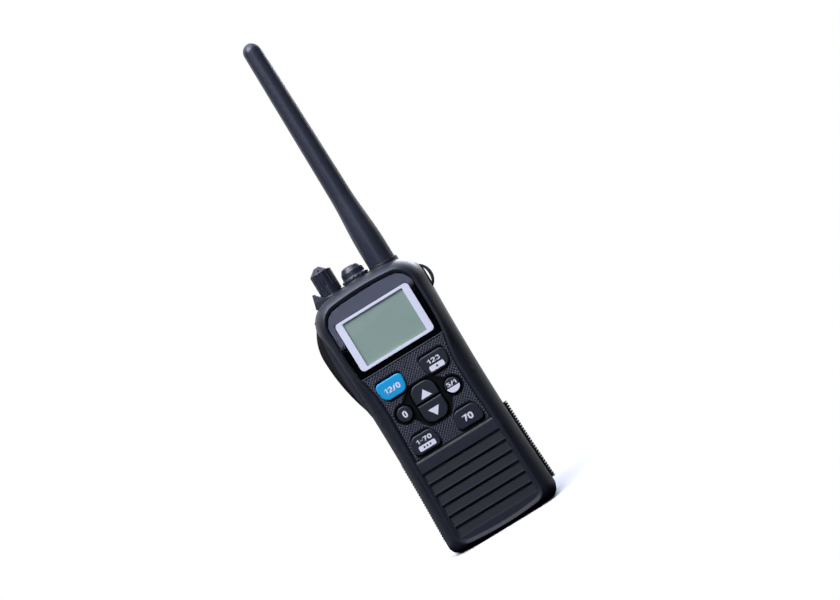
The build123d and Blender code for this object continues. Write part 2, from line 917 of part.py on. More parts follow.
with BuildPart() as main_seal:
    extrude(seal_ring(parting_out), amount=seal_depth)
main_seal.part.label = "main_seal"
export_step(main_seal.part, "parts/main_seal.step")

# ======================================================================== window and display
with BuildPart() as display_lens:
    extrude(
        outline(lens_edge, pocket_out + print_thick, above=window_foot + lens_foot, swell=1),
        amount=lens_thick,
    )
    chamfer(display_lens.faces().sort_by(Axis.Y)[0].edges(), lens_bevel)
display_lens.part.label = "display_lens"
export_step(display_lens.part, "parts/display_lens.step")

with BuildPart() as lens_print:
    extrude(outline(lens_edge, pocket_out, above=window_foot + lens_foot, swell=1), amount=print_thick)
    block(
        (-bezel_half - slip, bezel_half + slip),
        (pocket_out - through, pocket_out + through),
        (bezel_z - slip, bezel_z + bezel_height + slip),
        mode=Mode.SUBTRACT,
    )
lens_print.part.label = "lens_print"
export_step(lens_print.part, "parts/lens_print.step")

bezel_out = pocket_out + print_thick
glass_z = bezel_z + glass_foot
with BuildPart() as display_frame:
    with BuildSketch(Plane.XZ.offset(bezel_out - bezel_thick)):
        with Locations((0, bezel_z + bezel_height / 2)):
            RectangleRounded(2 * bezel_half, bezel_height, bezel_round)
        with Locations((0, glass_z + glass_height / 2)):
            Rectangle(2 * glass_half, glass_height, mode=Mode.SUBTRACT)
    extrude(amount=bezel_thick)
display_frame.part.label = "display_frame"
export_step(display_frame.part, "parts/display_frame.step")

lcd_out = bezel_out - bezel_thick - lcd_gap
lcd_x = (-glass_half - lcd_margin, glass_half + lcd_margin)
lcd_z = (glass_z - lcd_margin, glass_z + glass_height + lcd_margin)
with BuildPart() as lcd_glass:
    block(lcd_x, (lcd_out - lcd_thick, lcd_out), lcd_z)
lcd_glass.part.label = "lcd_glass"
export_step(lcd_glass.part, "parts/lcd_glass.step")

with BuildPart() as lcd_backlight:
    block(
        (lcd_x[0] - lcd_lip, lcd_x[1] + lcd_lip),
        (logic_out, lcd_out - lcd_thick),
        (lcd_z[0] - lcd_lip, lcd_z[1] + lcd_lip),
    )
lcd_backlight.part.label = "lcd_backlight"
export_step(lcd_backlight.part, "parts/lcd_backlight.step")

# ======================================================================== keys
flange_back = inner_out - key_flange_thick
stem_tip = logic_out + dome_height + key_travel + slip
for name, x, z, form in keys:
    with BuildPart() as key:
        extrude(
            key_outline(x, z, form, inner_out),
            amount=floor_out + key_rise - inner_out,
        )
        fillet(key.faces().sort_by(Axis.Y)[0].edges(), key_round)
        with BuildSketch(Plane.XZ.offset(flange_back)):
            stem_z = stem_height(z, form)
            reach = {"round": round_key, "up": rocker_half, "down": rocker_half}.get(form, wedge_half)
            with Locations((x, stem_z)):
                Rectangle(2 * (reach + key_gap + key_flange), key_tab)
        extrude(amount=key_flange_thick)
        extrude(key_outline(x, z, form, flange_back), amount=key_flange_thick)
        discs([(x, stem_z)], key_stem, (stem_tip, flange_back))
    key.part.label = name
    export_step(key.part, f"parts/{name}.step")

stem_spots = [(x, stem_height(z, form)) for name, x, z, form in keys]
board_foot = row_low - board_below_keys
with BuildPart() as keypad_mat:
    block(
        (-board_half, board_half),
        (logic_out, logic_out + mat_thick),
        (board_foot, row_high + wedge_height / 2 + key_gap),
    )
    discs(
        logic_screws_at,
        boss_round + soft_gap,
        (logic_out - through, logic_out + mat_thick + through),
        mode=Mode.SUBTRACT,
    )
    discs(
        stem_spots,
        key_stem + stem_room,
        (logic_out - through, logic_out + mat_thick + through),
        mode=Mode.SUBTRACT,
    )
keypad_mat.part.label = "keypad_mat"
export_step(keypad_mat.part, "parts/keypad_mat.step")

with BuildPart() as key_domes:
    discs(stem_spots, key_stem + stem_room / 2, (logic_out, logic_out + dome_height))
key_domes.part.label = "key_domes"
export_step(key_domes.part, "parts/key_domes.step")

# ======================================================================== logic board
with BuildPart() as logic_board:
    block(
        (-board_half, board_half),
        (logic_out - logic_thick, logic_out),
        (board_foot, lcd_z[1] + lcd_lip + lcd_gap),
    )
    discs(
        logic_screws_at,
        screw_shank + screw_room,
        (logic_out - logic_thick - through, logic_out + through),
        mode=Mode.SUBTRACT,
    )
    # the driver chip on its back
    block(
        (-chip_half, chip_half),
        (logic_out - logic_thick - chip_thick, logic_out - logic_thick),
        (chip_z - chip_half, chip_z + chip_half),
    )
logic_board.part.label = "logic_board"
export_step(logic_board.part, "parts/logic_board.step")

# ======================================================================== loudspeaker and microphone
frame_out = inner_out - membrane_thick - gasket_high
with BuildPart() as speaker_membrane:
    discs([(0, speaker_height)], speaker_half, (inner_out - membrane_thick, inner_out))
speaker_membrane.part.label = "speaker_membrane"
export_step(speaker_membrane.part, "parts/speaker_membrane.step")

with BuildPart() as speaker_gasket:
    discs([(0, speaker_height)], speaker_half, (frame_out, frame_out + gasket_high))
    discs(
        [(0, speaker_height)],
        speaker_half - gasket_wide,
        (frame_out, frame_out + gasket_high),
        mode=Mode.SUBTRACT,
    )
speaker_gasket.part.label = "speaker_gasket"
export_step(speaker_gasket.part, "parts/speaker_gasket.step")

with BuildPart() as speaker_frame:
    with BuildSketch(Plane.XY.offset(speaker_height)) as basket:
        with BuildLine():
            Polyline(
                (speaker_half, -frame_out),
                (speaker_half, -frame_out + frame_rim),
                (speaker_half - frame_lip, -frame_out + frame_rim),
                (frame_waist, -frame_out + frame_high),
                (frame_hole, -frame_out + frame_high),
                (frame_hole, -frame_out + frame_high - frame_metal),
                (frame_waist - frame_metal, -frame_out + frame_high - frame_metal),
                (speaker_half - frame_seat, -frame_out + frame_rim / 2),
                (speaker_half - frame_seat, -frame_out),
                close=True,
            )
        make_face()
    revolve(basket.sketch, axis=Axis((0, 0, speaker_height), (0, 1, 0)))
speaker_frame.part.label = "speaker_frame"
export_step(speaker_frame.part, "parts/speaker_frame.step")

with BuildPart() as speaker_cone:
    with BuildSketch(Plane.XY.offset(speaker_height)) as cone:
        with BuildLine():
            Polyline(
                (0, -frame_out + cap_depth),
                (cone_coil - cone_metal, -frame_out + cone_depth),
                (cone_coil - cone_metal, -frame_out + frame_high),
                (cone_coil, -frame_out + frame_high),
                (cone_coil, -frame_out + cone_depth),
                (speaker_half - frame_seat - cone_surround, -frame_out + cone_metal),
                (speaker_half - frame_seat, -frame_out + cone_metal),
                (speaker_half - frame_seat, -frame_out),
                (speaker_half - frame_seat - cone_surround, -frame_out),
                (cone_coil, -frame_out + cone_depth - cone_metal),
                (0, -frame_out + cap_depth - cone_metal),
                close=True,
            )
        make_face()
    revolve(cone.sketch, axis=Axis((0, 0, speaker_height), (0, 1, 0)))
speaker_cone.part.label = "speaker_cone"
export_step(speaker_cone.part, "parts/speaker_cone.step")

magnet_out = frame_out - frame_high
with BuildPart() as speaker_magnet:
    discs([(0, speaker_height)], magnet_half, (magnet_out - magnet_high, magnet_out))
    chamfer(speaker_magnet.edges().group_by(Axis.Y)[-1], magnet_bevel)
speaker_magnet.part.label = "speaker_magnet"
export_step(speaker_magnet.part, "parts/speaker_magnet.step")

capsule_at = (mic_x + mic_off_x, mic_z - mic_off_z)
with BuildPart() as mic_boot:
    discs([capsule_at], boot_half, (inner_out - boot_high, inner_out))
    discs(
        [capsule_at],
        capsule_half + slip,
        (inner_out - boot_high - through, inner_out - boot_wall),
        mode=Mode.SUBTRACT,
    )
    discs(
        [(mic_x, mic_z)],
        mic_hole,
        (inner_out - boot_high - through, inner_out + through),
        mode=Mode.SUBTRACT,
    )
mic_boot.part.label = "mic_boot"
export_step(mic_boot.part, "parts/mic_boot.step")

with BuildPart() as mic_capsule:
    discs([capsule_at], capsule_half, (inner_out - boot_high, inner_out - boot_wall))
mic_capsule.part.label = "mic_capsule"
export_step(mic_capsule.part, "parts/mic_capsule.step")

# ======================================================================== RF board, shield and connector
with BuildPart() as rf_board:
    block((-board_half, board_half), (rf_out - rf_thick, rf_out), (rf_foot, rf_top))
    discs(
        rf_screws_at,
        screw_shank + screw_room,
        (rf_out - rf_thick - through, rf_out + through),
        mode=Mode.SUBTRACT,
    )
rf_board.part.label = "rf_board"
export_step(rf_board.part, "parts/rf_board.step")

with BuildPart() as rf_shield:
    block(shield_x, (rf_out, rf_out + shield_height), shield_z)
    block(
        (shield_x[0] + shield_thick, shield_x[1] - shield_thick),
        (rf_out - through, rf_out + shield_height - shield_thick),
        (shield_z[0] + shield_thick, shield_z[1] - shield_thick),
        mode=Mode.SUBTRACT,
    )
rf_shield.part.label = "rf_shield"
export_step(rf_shield.part, "parts/rf_shield.step")

with BuildPart() as board_connector:
    block(
        (-connector_half, connector_half),
        (rf_out, logic_out - logic_thick),
        (board_foot + connector_z[0], board_foot + connector_z[1]),
    )
board_connector.part.label = "board_connector"
export_step(board_connector.part, "parts/board_connector.step")

# ======================================================================== controls
seal_top = inner_deck
pot_top = seal_top - seal_height
shaft_foot = pot_top - shaft_in_pot
shaft_tip = control_deck + shaft_rise

for name, x in (("volume_pot", volume_x), ("squelch_pot", squelch_x)):
    with BuildPart() as pot:
        block(
            (x - pot_half, x + pot_half),
            (controls_out - pot_depth / 2, controls_out + pot_depth / 2),
            (pot_top - pot_height, pot_top),
        )
        posts([(x, bushing_half)], (pot_top, control_deck))
        posts([(x, shaft_half + running)], (shaft_foot, control_deck), mode=Mode.SUBTRACT)
    pot.part.label = name
    export_step(pot.part, f"parts/{name}.step")

with BuildPart() as shaft_seals:
    posts([(volume_x, seat_half), (squelch_x, seat_half)], (pot_top, seal_top))
    posts([(x, bushing_half + slip) for x in (volume_x, squelch_x)], (pot_top, seal_top), mode=Mode.SUBTRACT)
shaft_seals.part.label = "shaft_seals"
export_step(shaft_seals.part, "parts/shaft_seals.step")

for name, x in (("volume_shaft", volume_x), ("squelch_shaft", squelch_x)):
    with BuildPart() as shaft:
        posts([(x, shaft_half)], (shaft_foot + slip, shaft_tip))
        chamfer(shaft.edges().group_by(Axis.Z)[-1], shaft_bevel)
    shaft.part.label = name
    export_step(shaft.part, f"parts/{name}.step")

knob_foot = control_deck + knob_gap
with BuildPart() as volume_knob:
    with BuildSketch(Plane.XZ) as knob_side:
        with BuildLine():
            Polyline(
                (0, knob_foot),
                *[(volume_half - inset, knob_foot + volume_height - drop) for inset, drop in volume_profile],
                (0, knob_foot + volume_height),
                close=True,
            )
        make_face()
    revolve(knob_side.sketch, axis=Axis.Z)
    with BuildSketch(Plane.XY.offset(knob_foot + flute_foot)) as flutes:
        with PolarLocations(volume_half + flute_out, flute_count):
            Circle(flute_half)
    extrude(flutes.sketch, amount=volume_height, mode=Mode.SUBTRACT)
    # the index groove
    with Locations((0, -volume_half + flute_half, knob_foot + volume_height)):
        Box(*index_groove, mode=Mode.SUBTRACT)
    with BuildSketch(Plane.XY.offset(knob_foot)) as knob_bore:
        Circle(shaft_half + seat_gap)
    extrude(knob_bore.sketch, amount=shaft_tip - knob_foot + merge, mode=Mode.SUBTRACT)
volume_knob.part = volume_knob.part.moved(Location((volume_x, -controls_out, 0)))
volume_knob.part.label = "volume_knob"
export_step(volume_knob.part, "parts/volume_knob.step")

with BuildPart() as squelch_knob:
    with BuildSketch(Plane.XZ) as low_side:
        with BuildLine():
            Polyline(
                (0, knob_foot),
                *[(squelch_half - inset, knob_foot + rise) for inset, rise in squelch_profile],
                (0, knob_foot + squelch_height),
                close=True,
            )
        make_face()
    revolve(low_side.sketch, axis=Axis.Z)
    with BuildSketch(Plane.XY.offset(knob_foot)) as scallops:
        with PolarLocations(squelch_half + scallop_out, scallop_count):
            Circle(scallop_half)
    extrude(scallops.sketch, amount=squelch_height, mode=Mode.SUBTRACT)
    with BuildSketch(Plane.XY.offset(knob_foot)) as low_bore:
        Circle(shaft_half + seat_gap)
    extrude(low_bore.sketch, amount=shaft_tip - knob_foot + merge, mode=Mode.SUBTRACT)
squelch_knob.part = squelch_knob.part.moved(Location((squelch_x, -controls_out, 0)))
squelch_knob.part.label = "squelch_knob"
export_step(squelch_knob.part, "parts/squelch_knob.step")

# ======================================================================== antenna
stud_top = control_deck + stud_rise
with BuildPart() as antenna_jack:
    posts([(antenna_x, stud_flange)], (inner_deck - stud_flange_thick, inner_deck))
    posts([(antenna_x, stud_half)], (inner_deck, stud_top))
    chamfer(antenna_jack.edges().group_by(Axis.Z)[-1], stud_bevel)
antenna_jack.part.label = "antenna_jack"
export_step(antenna_jack.part, "parts/antenna_jack.step")

gasket_top = control_deck + gasket_thick
with BuildPart() as antenna_gasket:
    posts([(antenna_x, antenna_base_half + gasket_proud)], (control_deck, gasket_top))
    posts([(antenna_x, stud_half + running)], (control_deck, gasket_top), mode=Mode.SUBTRACT)
antenna_gasket.part.label = "antenna_gasket"
export_step(antenna_gasket.part, "parts/antenna_gasket.step")

antenna_foot = gasket_top + slip
insert_top = antenna_foot + insert_rise
with BuildPart() as antenna_insert:
    posts([(antenna_x, insert_half)], (antenna_foot, insert_top))
    posts([(antenna_x, stud_half + running)], (antenna_foot, insert_top - insert_cap), mode=Mode.SUBTRACT)
antenna_insert.part.label = "antenna_insert"
export_step(antenna_insert.part, "parts/antenna_insert.step")

whip_top = insert_top + whip_length
with BuildPart() as antenna_whip:
    posts([(antenna_x, whip_half)], (insert_top, whip_top))
antenna_whip.part.label = "antenna_whip"
export_step(antenna_whip.part, "parts/antenna_whip.step")

antenna_tip = antenna_foot + antenna_length
tip_slant = math.sqrt(0.5)
with BuildPart() as antenna_sheath:
    with BuildSketch(Plane.XZ) as sheath_side:
        with BuildLine():
            Line((0, antenna_foot), (antenna_base_half, antenna_foot))
            Line((antenna_base_half, antenna_foot), (antenna_base_half, antenna_foot + antenna_base_rise))
            Bezier(
                (antenna_base_half, antenna_foot + antenna_base_rise),
                (antenna_base_half, antenna_foot + antenna_base_rise + antenna_ease),
                (antenna_neck_half, antenna_foot + antenna_neck_rise - antenna_ease),
                (antenna_neck_half, antenna_foot + antenna_neck_rise),
            )
            Line(
                (antenna_neck_half, antenna_foot + antenna_neck_rise),
                (antenna_tip_half, antenna_tip - antenna_tip_half),
            )
            ThreePointArc(
                (antenna_tip_half, antenna_tip - antenna_tip_half),
                (antenna_tip_half * tip_slant, antenna_tip - antenna_tip_half * (1 - tip_slant)),
                (0, antenna_tip),
            )
            Line((0, antenna_tip), (0, antenna_foot))
        make_face()
    revolve(sheath_side.sketch, axis=Axis.Z)
    with BuildSketch(Plane.XY.offset(antenna_foot)) as insert_bore:
        Circle(insert_half)
    extrude(insert_bore.sketch, amount=insert_rise, mode=Mode.SUBTRACT)
    with BuildSketch(Plane.XY.offset(insert_top)) as whip_bore:
        Circle(whip_half)
    extrude(whip_bore.sketch, amount=whip_length, mode=Mode.SUBTRACT)
antenna_sheath.part = antenna_sheath.part.moved(Location((antenna_x, -controls_out, 0)))
antenna_sheath.part.label = "antenna_sheath"
export_step(antenna_sheath.part, "parts/antenna_sheath.step")

# ======================================================================== push-to-talk key
seal_x = -talk_inner
flange_x = seal_x + talk_seal
talk_outs = (talk_back, talk_front)
with BuildPart() as talk_key:
    extrude(talk_profile(talk_back), amount=talk_front - talk_back)
    crown_edges = talk_key.edges().filter_by(GeomType.CIRCLE)
    fillet(crown_edges, talk_edge_round)
    block((seal_x, flange_x), talk_outs, (talk_foot, talk_top))
    block(
        (flange_x, flange_x + talk_flange),
        (talk_back - talk_seal_edge + soft_gap, talk_front + talk_seal_edge - soft_gap),
        (talk_foot + talk_flange_low, talk_top - talk_flange_high),
    )
    block(
        (flange_x + talk_flange, flange_x + talk_flange + talk_nub),
        (talk_nub_out - talk_nub_half, talk_nub_out + talk_nub_half),
        talk_nub_z,
    )
talk_key.part.label = "talk_key"
export_step(talk_key.part, "parts/talk_key.step")

with BuildPart() as talk_seal_ring:
    block(
        (seal_x, flange_x),
        (talk_back - talk_seal_edge, talk_front + talk_seal_edge),
        (talk_foot - talk_seal_edge, talk_top + talk_seal_edge),
    )
    block(
        (seal_x - through, flange_x + through),
        (talk_back - key_gap, talk_front + key_gap),
        (talk_foot - key_gap, talk_top + key_gap),
        mode=Mode.SUBTRACT,
    )
talk_seal_ring.part.label = "talk_seal"
export_step(talk_seal_ring.part, "parts/talk_seal.step")

switch_tip = flange_x + talk_flange + talk_nub + talk_travel + 4 * slip
switch_z = sum(talk_nub_z) / 2
with BuildPart() as talk_switch:
    block(
        (switch_tip + plunger_long, switch_tip + plunger_long + switch_size[0]),
        (rf_out, rf_out + switch_size[1]),
        (switch_z - switch_size[2] / 2, switch_z + switch_size[2] / 2),
    )
    block(
        (switch_tip, switch_tip + plunger_long),
        (rf_out + (switch_size[1] - plunger_wide) / 2, rf_out + (switch_size[1] + plunger_wide) / 2),
        (switch_z - plunger_wide, switch_z + plunger_wide),
    )
talk_switch.part.label = "talk_switch"
export_step(talk_switch.part, "parts/talk_switch.step")

# ======================================================================== strap loop
loop_foot = strap_z - loop_half_high
loop_head = strap_z + loop_half_high
eye_foot = strap_z - loop_half_high + loop_wall + loop_eye_end
eye_head = strap_z + loop_half_high - loop_wall - loop_eye_end
eye_side = loop_side + loop_eye_in
with BuildPart() as strap_loop:
    with BuildSketch(Plane.XZ.offset(-loop_half_thick)) as loop:
        with BuildLine():
            Line((loop_side - loop_tab, loop_foot), (loop_side - merge, loop_foot))
            ThreePointArc(
                (loop_side - merge, loop_foot),
                (loop_side + loop_reach, strap_z),
                (loop_side - merge, loop_head),
            )
            Line((loop_side - merge, loop_head), (loop_side - loop_tab, loop_head))
            Line((loop_side - loop_tab, loop_head), (loop_side - loop_tab, loop_foot))
        make_face()
    extrude(loop.sketch, amount=2 * loop_half_thick)
    with BuildSketch(Plane.XZ.offset(-2 * loop_half_thick)) as eye:
        with BuildLine():
            Line((eye_side, eye_foot), (eye_side, eye_head))
            ThreePointArc(
                (eye_side, eye_head),
                (loop_side + loop_reach - loop_wall, strap_z),
                (eye_side, eye_foot),
            )
        make_face()
    extrude(eye.sketch, amount=4 * loop_half_thick, mode=Mode.SUBTRACT)
    extrude(
        outline(shrink(body_edge, -slip), -2 * loop_half_thick),
        amount=4 * loop_half_thick,
        mode=Mode.SUBTRACT,
    )
    block(
        (loop_side - loop_tab, eye_side),
        (-loop_half_thick, loop_half_thick),
        (strap_z - loop_tab_half, strap_z + loop_tab_half),
    )
strap_loop.part.label = "strap_loop"
export_step(strap_loop.part, "parts/strap_loop.step")

# ======================================================================== rear chassis
hump_stations = [
    (parting_out, 0.0),
    *[(-hump_back + share * (hump_back - parting_back), inset) for share, inset in hump_round],
    (-hump_back, hump_inset),
]
lug_z = (pack_top, pack_top + lug_high)
lug_y = (pivot_y - lug_front, pivot_y + lug_back)
with BuildPart() as rear_chassis:
    extrude(outline(body_edge, parting_out), amount=-chassis_plate)
    loft([outline(shrink(body_edge, inset), out) for out, inset in hump_stations], ruled=True)
    block(
        (-2 * foot_half, 2 * foot_half),
        (plate_out, -2 * hump_back),
        (-hump_foot, hump_foot),
        mode=Mode.SUBTRACT,
    )
    # room behind the controls
    block(
        (-hump_pocket_half, hump_pocket_half),
        (parting_out + through, -hump_back + hump_wall),
        hump_pocket_z,
        mode=Mode.SUBTRACT,
    )
    # slots for the battery's lugs
    for side in (-1, 1):
        block(
            (side * (lug_x[0] - lug_room), side * (lug_x[1] + lug_room)),
            (-lug_y[0] + lug_room, -lug_y[1] - lug_room),
            (hump_foot - through, lug_z[1] + lug_room),
            mode=Mode.SUBTRACT,
        )
    # posts for the RF board
    discs(rf_screws_at, boss_round, (plate_out + merge, rf_out - rf_thick))
    # shelf under the battery, with the catch for its latch
    block((-shelf_half, shelf_half), (plate_out + merge, -shelf_back), (0.0, shelf_thick))
    with BuildSketch(Plane.YZ.offset(-shelf_half + catch_inset)) as catch:
        with BuildLine():
            Polyline(
                (catch_front, shelf_thick - merge),
                (catch_front, shelf_thick),
                (shelf_back, shelf_thick + catch_rise),
                (shelf_back, shelf_thick - merge),
                close=True,
            )
        make_face()
    extrude(catch.sketch, amount=2 * (shelf_half - catch_inset))
    # window for the contact block
    block(
        (-contact_half - slip, contact_half + slip),
        (parting_out + through, plate_out - through),
        (contact_z[0] - slip, contact_z[1] + slip),
        mode=Mode.SUBTRACT,
    )
    # countersunk screw holes, reached from behind through the hump at the top
    discs(
        chassis_screws_at,
        screw_shank + screw_room,
        (parting_out + through, plate_out - through),
        mode=Mode.SUBTRACT,
    )
    for x, z in chassis_screws_at:
        with Locations(facing_back(x, -plate_out - screw_head_high / 2, z)):
            Cone(screw_shank + slip, screw_head + slip, screw_head_high, mode=Mode.SUBTRACT)
    discs(chassis_screws_at, screw_head + soft_gap, (plate_out, -2 * hump_back), mode=Mode.SUBTRACT)
    discs(
        rf_screws_at,
        screw_shank + seat_gap,
        (rf_out - rf_thick, plate_out + chassis_plate / 3),
        mode=Mode.SUBTRACT,
    )
rear_chassis.part.label = "rear_chassis"
export_step(rear_chassis.part, "parts/rear_chassis.step")

with BuildPart() as chassis_screws:
    discs(chassis_screws_at, screw_shank, (plate_out, plate_out + screw_length))
    for x, z in chassis_screws_at:
        with Locations(facing_back(x, -plate_out - screw_head_high / 2, z)):
            Cone(screw_shank, screw_head, screw_head_high)
        with Locations((x, -plate_out, z)):
            Box(screw_slot[0], 2 * screw_slot_deep, screw_slot[1], mode=Mode.SUBTRACT)
            Box(screw_slot[1], 2 * screw_slot_deep, screw_slot[0], mode=Mode.SUBTRACT)
chassis_screws.part.label = "chassis_screws"
export_step(chassis_screws.part, "parts/chassis_screws.step")

with BuildPart() as board_screws:
    discs(
        logic_screws_at,
        board_screw_head,
        (logic_out - logic_thick - board_screw_high, logic_out - logic_thick),
    )
    discs(logic_screws_at, screw_shank, (logic_out - logic_thick - merge, inner_out - 2 * merge))
    discs(rf_screws_at, board_screw_head, (rf_out, rf_out + board_screw_high))
    discs(rf_screws_at, screw_shank, (rf_out + merge, plate_out + chassis_plate / 2))
board_screws.part.label = "board_screws"
export_step(board_screws.part, "parts/board_screws.step")

# ======================================================================== contacts
contact_at = [(x, sum(contact_z) / 2) for x in contact_columns]
with BuildPart() as contact_block:
    block((-contact_half, contact_half), (plate_out, rf_out - rf_thick), contact_z)
    pin_bores = (plate_out - through, rf_out - rf_thick + through)
    discs(contact_at, pin_half + slip, pin_bores, mode=Mode.SUBTRACT)
contact_block.part.label = "contact_block"
export_step(contact_block.part, "parts/contact_block.step")

with BuildPart() as contact_pins:
    discs(contact_at, pin_half, (pack_out + slip, rf_out - rf_thick))
contact_pins.part.label = "contact_pins"
export_step(contact_pins.part, "parts/contact_pins.step")

# ======================================================================== battery
pack_edge = shrink(body_edge, pack_inset)
pack_depth = pack_back + pack_out
pack_stations = [
    (pack_out, 0.0, pack_top),
    *[(-pack_back + share * pack_depth, inset, pack_top - drop) for share, inset, drop in pack_round],
    (-pack_back, pack_back_inset, pack_top - pack_back_drop),
]
cell_z = (cell_foot, cell_foot + cell_length)
cell_outs = (pack_out - pack_cover - cell_room, -pack_back + pack_wall + cell_room)
cover_half = 2 * cell_half + ledge
cover_z = (cell_foot - ledge - cell_room, pack_top - ledge)
notch_half = shelf_half + notch_room
notch_top = shelf_thick + catch_rise + notch_room


def pack_outline(out, inset, top):
    """The battery's outline: the body's, a little smaller, flat at its top, its foot on the ground."""
    edge = list(shrink(pack_edge, inset))
    edge[3] = inset * pack_foot_share
    return outline(tuple(edge), out, below=top)


with BuildPart() as battery_case:
    loft([pack_outline(out, inset, top) for out, inset, top in pack_stations], ruled=True)
    # grip strips down both sides, cut into ribs
    strip_edge = shrink(body_edge, -grip_proud)
    strip_outs = (pack_out - merge, -grip_back)
    extrude(
        outline(strip_edge, strip_outs[1], above=grip_foot, below=grip_top),
        amount=strip_outs[0] - strip_outs[1],
    )
    rib_count = int((grip_top - grip_foot) / grip_pitch)
    with BuildSketch(Plane.XZ.offset(strip_outs[1] - through)) as grooves:
        for i in range(rib_count):
            z = grip_foot + (i + 0.5) * grip_pitch
            with Locations(*[(side * (side_at(z) + grip_proud), z) for side in (-1, 1)]):
                Rectangle(2 * groove_deep, grip_pitch * groove_share)
    extrude(grooves.sketch, amount=strip_outs[0] - strip_outs[1] + 2 * through, mode=Mode.SUBTRACT)
    # hollow for the cells, with a ledge for the cover
    block(
        (-cover_half, cover_half),
        (pack_out + through, pack_out - pack_cover),
        cover_z,
        mode=Mode.SUBTRACT,
    )
    block(
        (-cover_half + ledge, cover_half - ledge),
        (pack_out, -pack_back + pack_wall),
        (cover_z[0] + ledge, cover_z[1] - ledge),
        mode=Mode.SUBTRACT,
    )
    # bosses for the belt clip's screws
    discs(
        clip_screws_at,
        clip_boss,
        (-pack_back + pack_wall - merge, -pack_back + clip_screw_length + pack_wall),
    )
    discs(
        clip_screws_at,
        clip_screw_shank + seat_gap,
        (-pack_back - through, -pack_back + clip_screw_length),
        mode=Mode.SUBTRACT,
    )
    # pocket for the latch, and the notch that clears the chassis shelf
    block(
        (-latch_half - latch_room, latch_half + latch_room),
        (-latch_y[0] + slip, -pack_back - through),
        (-through, latch_pocket),
        mode=Mode.SUBTRACT,
    )
    block(
        (-notch_half, notch_half),
        (pack_out + through, -shelf_back - notch_room),
        (-through, notch_top),
        mode=Mode.SUBTRACT,
    )
    # lugs that hook into the chassis
    for side in (-1, 1):
        block((side * lug_x[0], side * lug_x[1]), (-lug_y[0], -lug_y[1]), (lug_z[0] - through, lug_z[1]))
battery_case.part.label = "battery_case"
export_step(battery_case.part, "parts/battery_case.step")

with BuildPart() as battery_cover:
    block(
        (-cover_half + slip, cover_half - slip),
        (pack_out, pack_out - pack_cover),
        (cover_z[0] + slip, cover_z[1] - slip),
    )
    for x in contact_columns:
        block(
            (x - pad_size[0] / 2 - slip, x + pad_size[0] / 2 + slip),
            (pack_out + through, pack_out - pad_thick),
            (sum(contact_z) / 2 - pad_size[1] / 2 - slip, sum(contact_z) / 2 + pad_size[1] / 2 + slip),
            mode=Mode.SUBTRACT,
        )
battery_cover.part.label = "battery_cover"
export_step(battery_cover.part, "parts/battery_cover.step")

with BuildPart() as battery_contacts:
    for x in contact_columns:
        block(
            (x - pad_size[0] / 2, x + pad_size[0] / 2),
            (pack_out, pack_out - pad_thick),
            (sum(contact_z) / 2 - pad_size[1] / 2, sum(contact_z) / 2 + pad_size[1] / 2),
        )
battery_contacts.part.label = "battery_contacts"
export_step(battery_contacts.part, "parts/battery_contacts.step")

with BuildPart() as battery_cells:
    for side in (-1, 1):
        block((side * cell_room / 2, side * 2 * cell_half), cell_outs, cell_z)
    fillet(battery_cells.edges().filter_by(Axis.Z), cell_round)
battery_cells.part.label = "battery_cells"
export_step(battery_cells.part, "parts/battery_cells.step")

# ======================================================================== battery latch
tongue_half = shelf_half - tongue_inset
tongue_rise = catch_rise / (shelf_back - catch_front)
latch_foot = notch_top + merge
with BuildPart() as battery_latch:
    block(
        (-latch_half, latch_half),
        (-latch_y[0], -latch_y[1]),
        (latch_foot, latch_top),
    )
    # finger ribs on its back
    for i in range(latch_ribs):
        rib_foot = latch_foot + latch_rib_foot + latch_rib_pitch * i
        block(
            (-latch_half + latch_rib_inset, latch_half - latch_rib_inset),
            (-latch_y[1], -latch_y[1] - latch_rib_proud),
            (rib_foot, rib_foot + latch_rib_high),
        )
    with BuildSketch(Plane.YZ.offset(-tongue_half)) as tongue:
        with BuildLine():
            Polyline(
                (latch_y[0], latch_foot + merge),
                (latch_y[0], shelf_thick + catch_gap + tongue_rise * (latch_y[0] - catch_front)),
                (shelf_back, shelf_thick + catch_gap + tongue_rise * (shelf_back - catch_front)),
                (shelf_back, latch_foot + merge),
                close=True,
            )
        make_face()
    extrude(tongue.sketch, amount=2 * tongue_half)
battery_latch.part.label = "battery_latch"
export_step(battery_latch.part, "parts/battery_latch.step")

with BuildPart() as latch_spring:
    with BuildLine() as coil:
        Helix(
            pitch=spring_pitch,
            height=latch_pocket - latch_top - 2 * spring_wire - 4 * slip,
            radius=spring_half,
            center=(0, sum(latch_y) / 2, latch_top + spring_wire + 2 * slip),
        )
    with BuildSketch(Plane(origin=coil.line @ 0, z_dir=coil.line % 0)):
        Circle(spring_wire)
    sweep()
latch_spring.part.label = "latch_spring"
export_step(latch_spring.part, "parts/latch_spring.step")

# ======================================================================== belt clip
arm_front = pack_back + clip_gap
arm_back = arm_front + clip_thick
base_z = (clip_pin_z - base_below, clip_pin_z + base_above)


def across(radius, length, x=0.0, mode=Mode.ADD):
    """A cylinder on the clip's hinge line, centred at x."""
    with Locations(Plane((x, clip_pin_y, clip_pin_z), x_dir=(0, 1, 0), z_dir=(1, 0, 0))):
        Cylinder(radius, length, mode=mode)


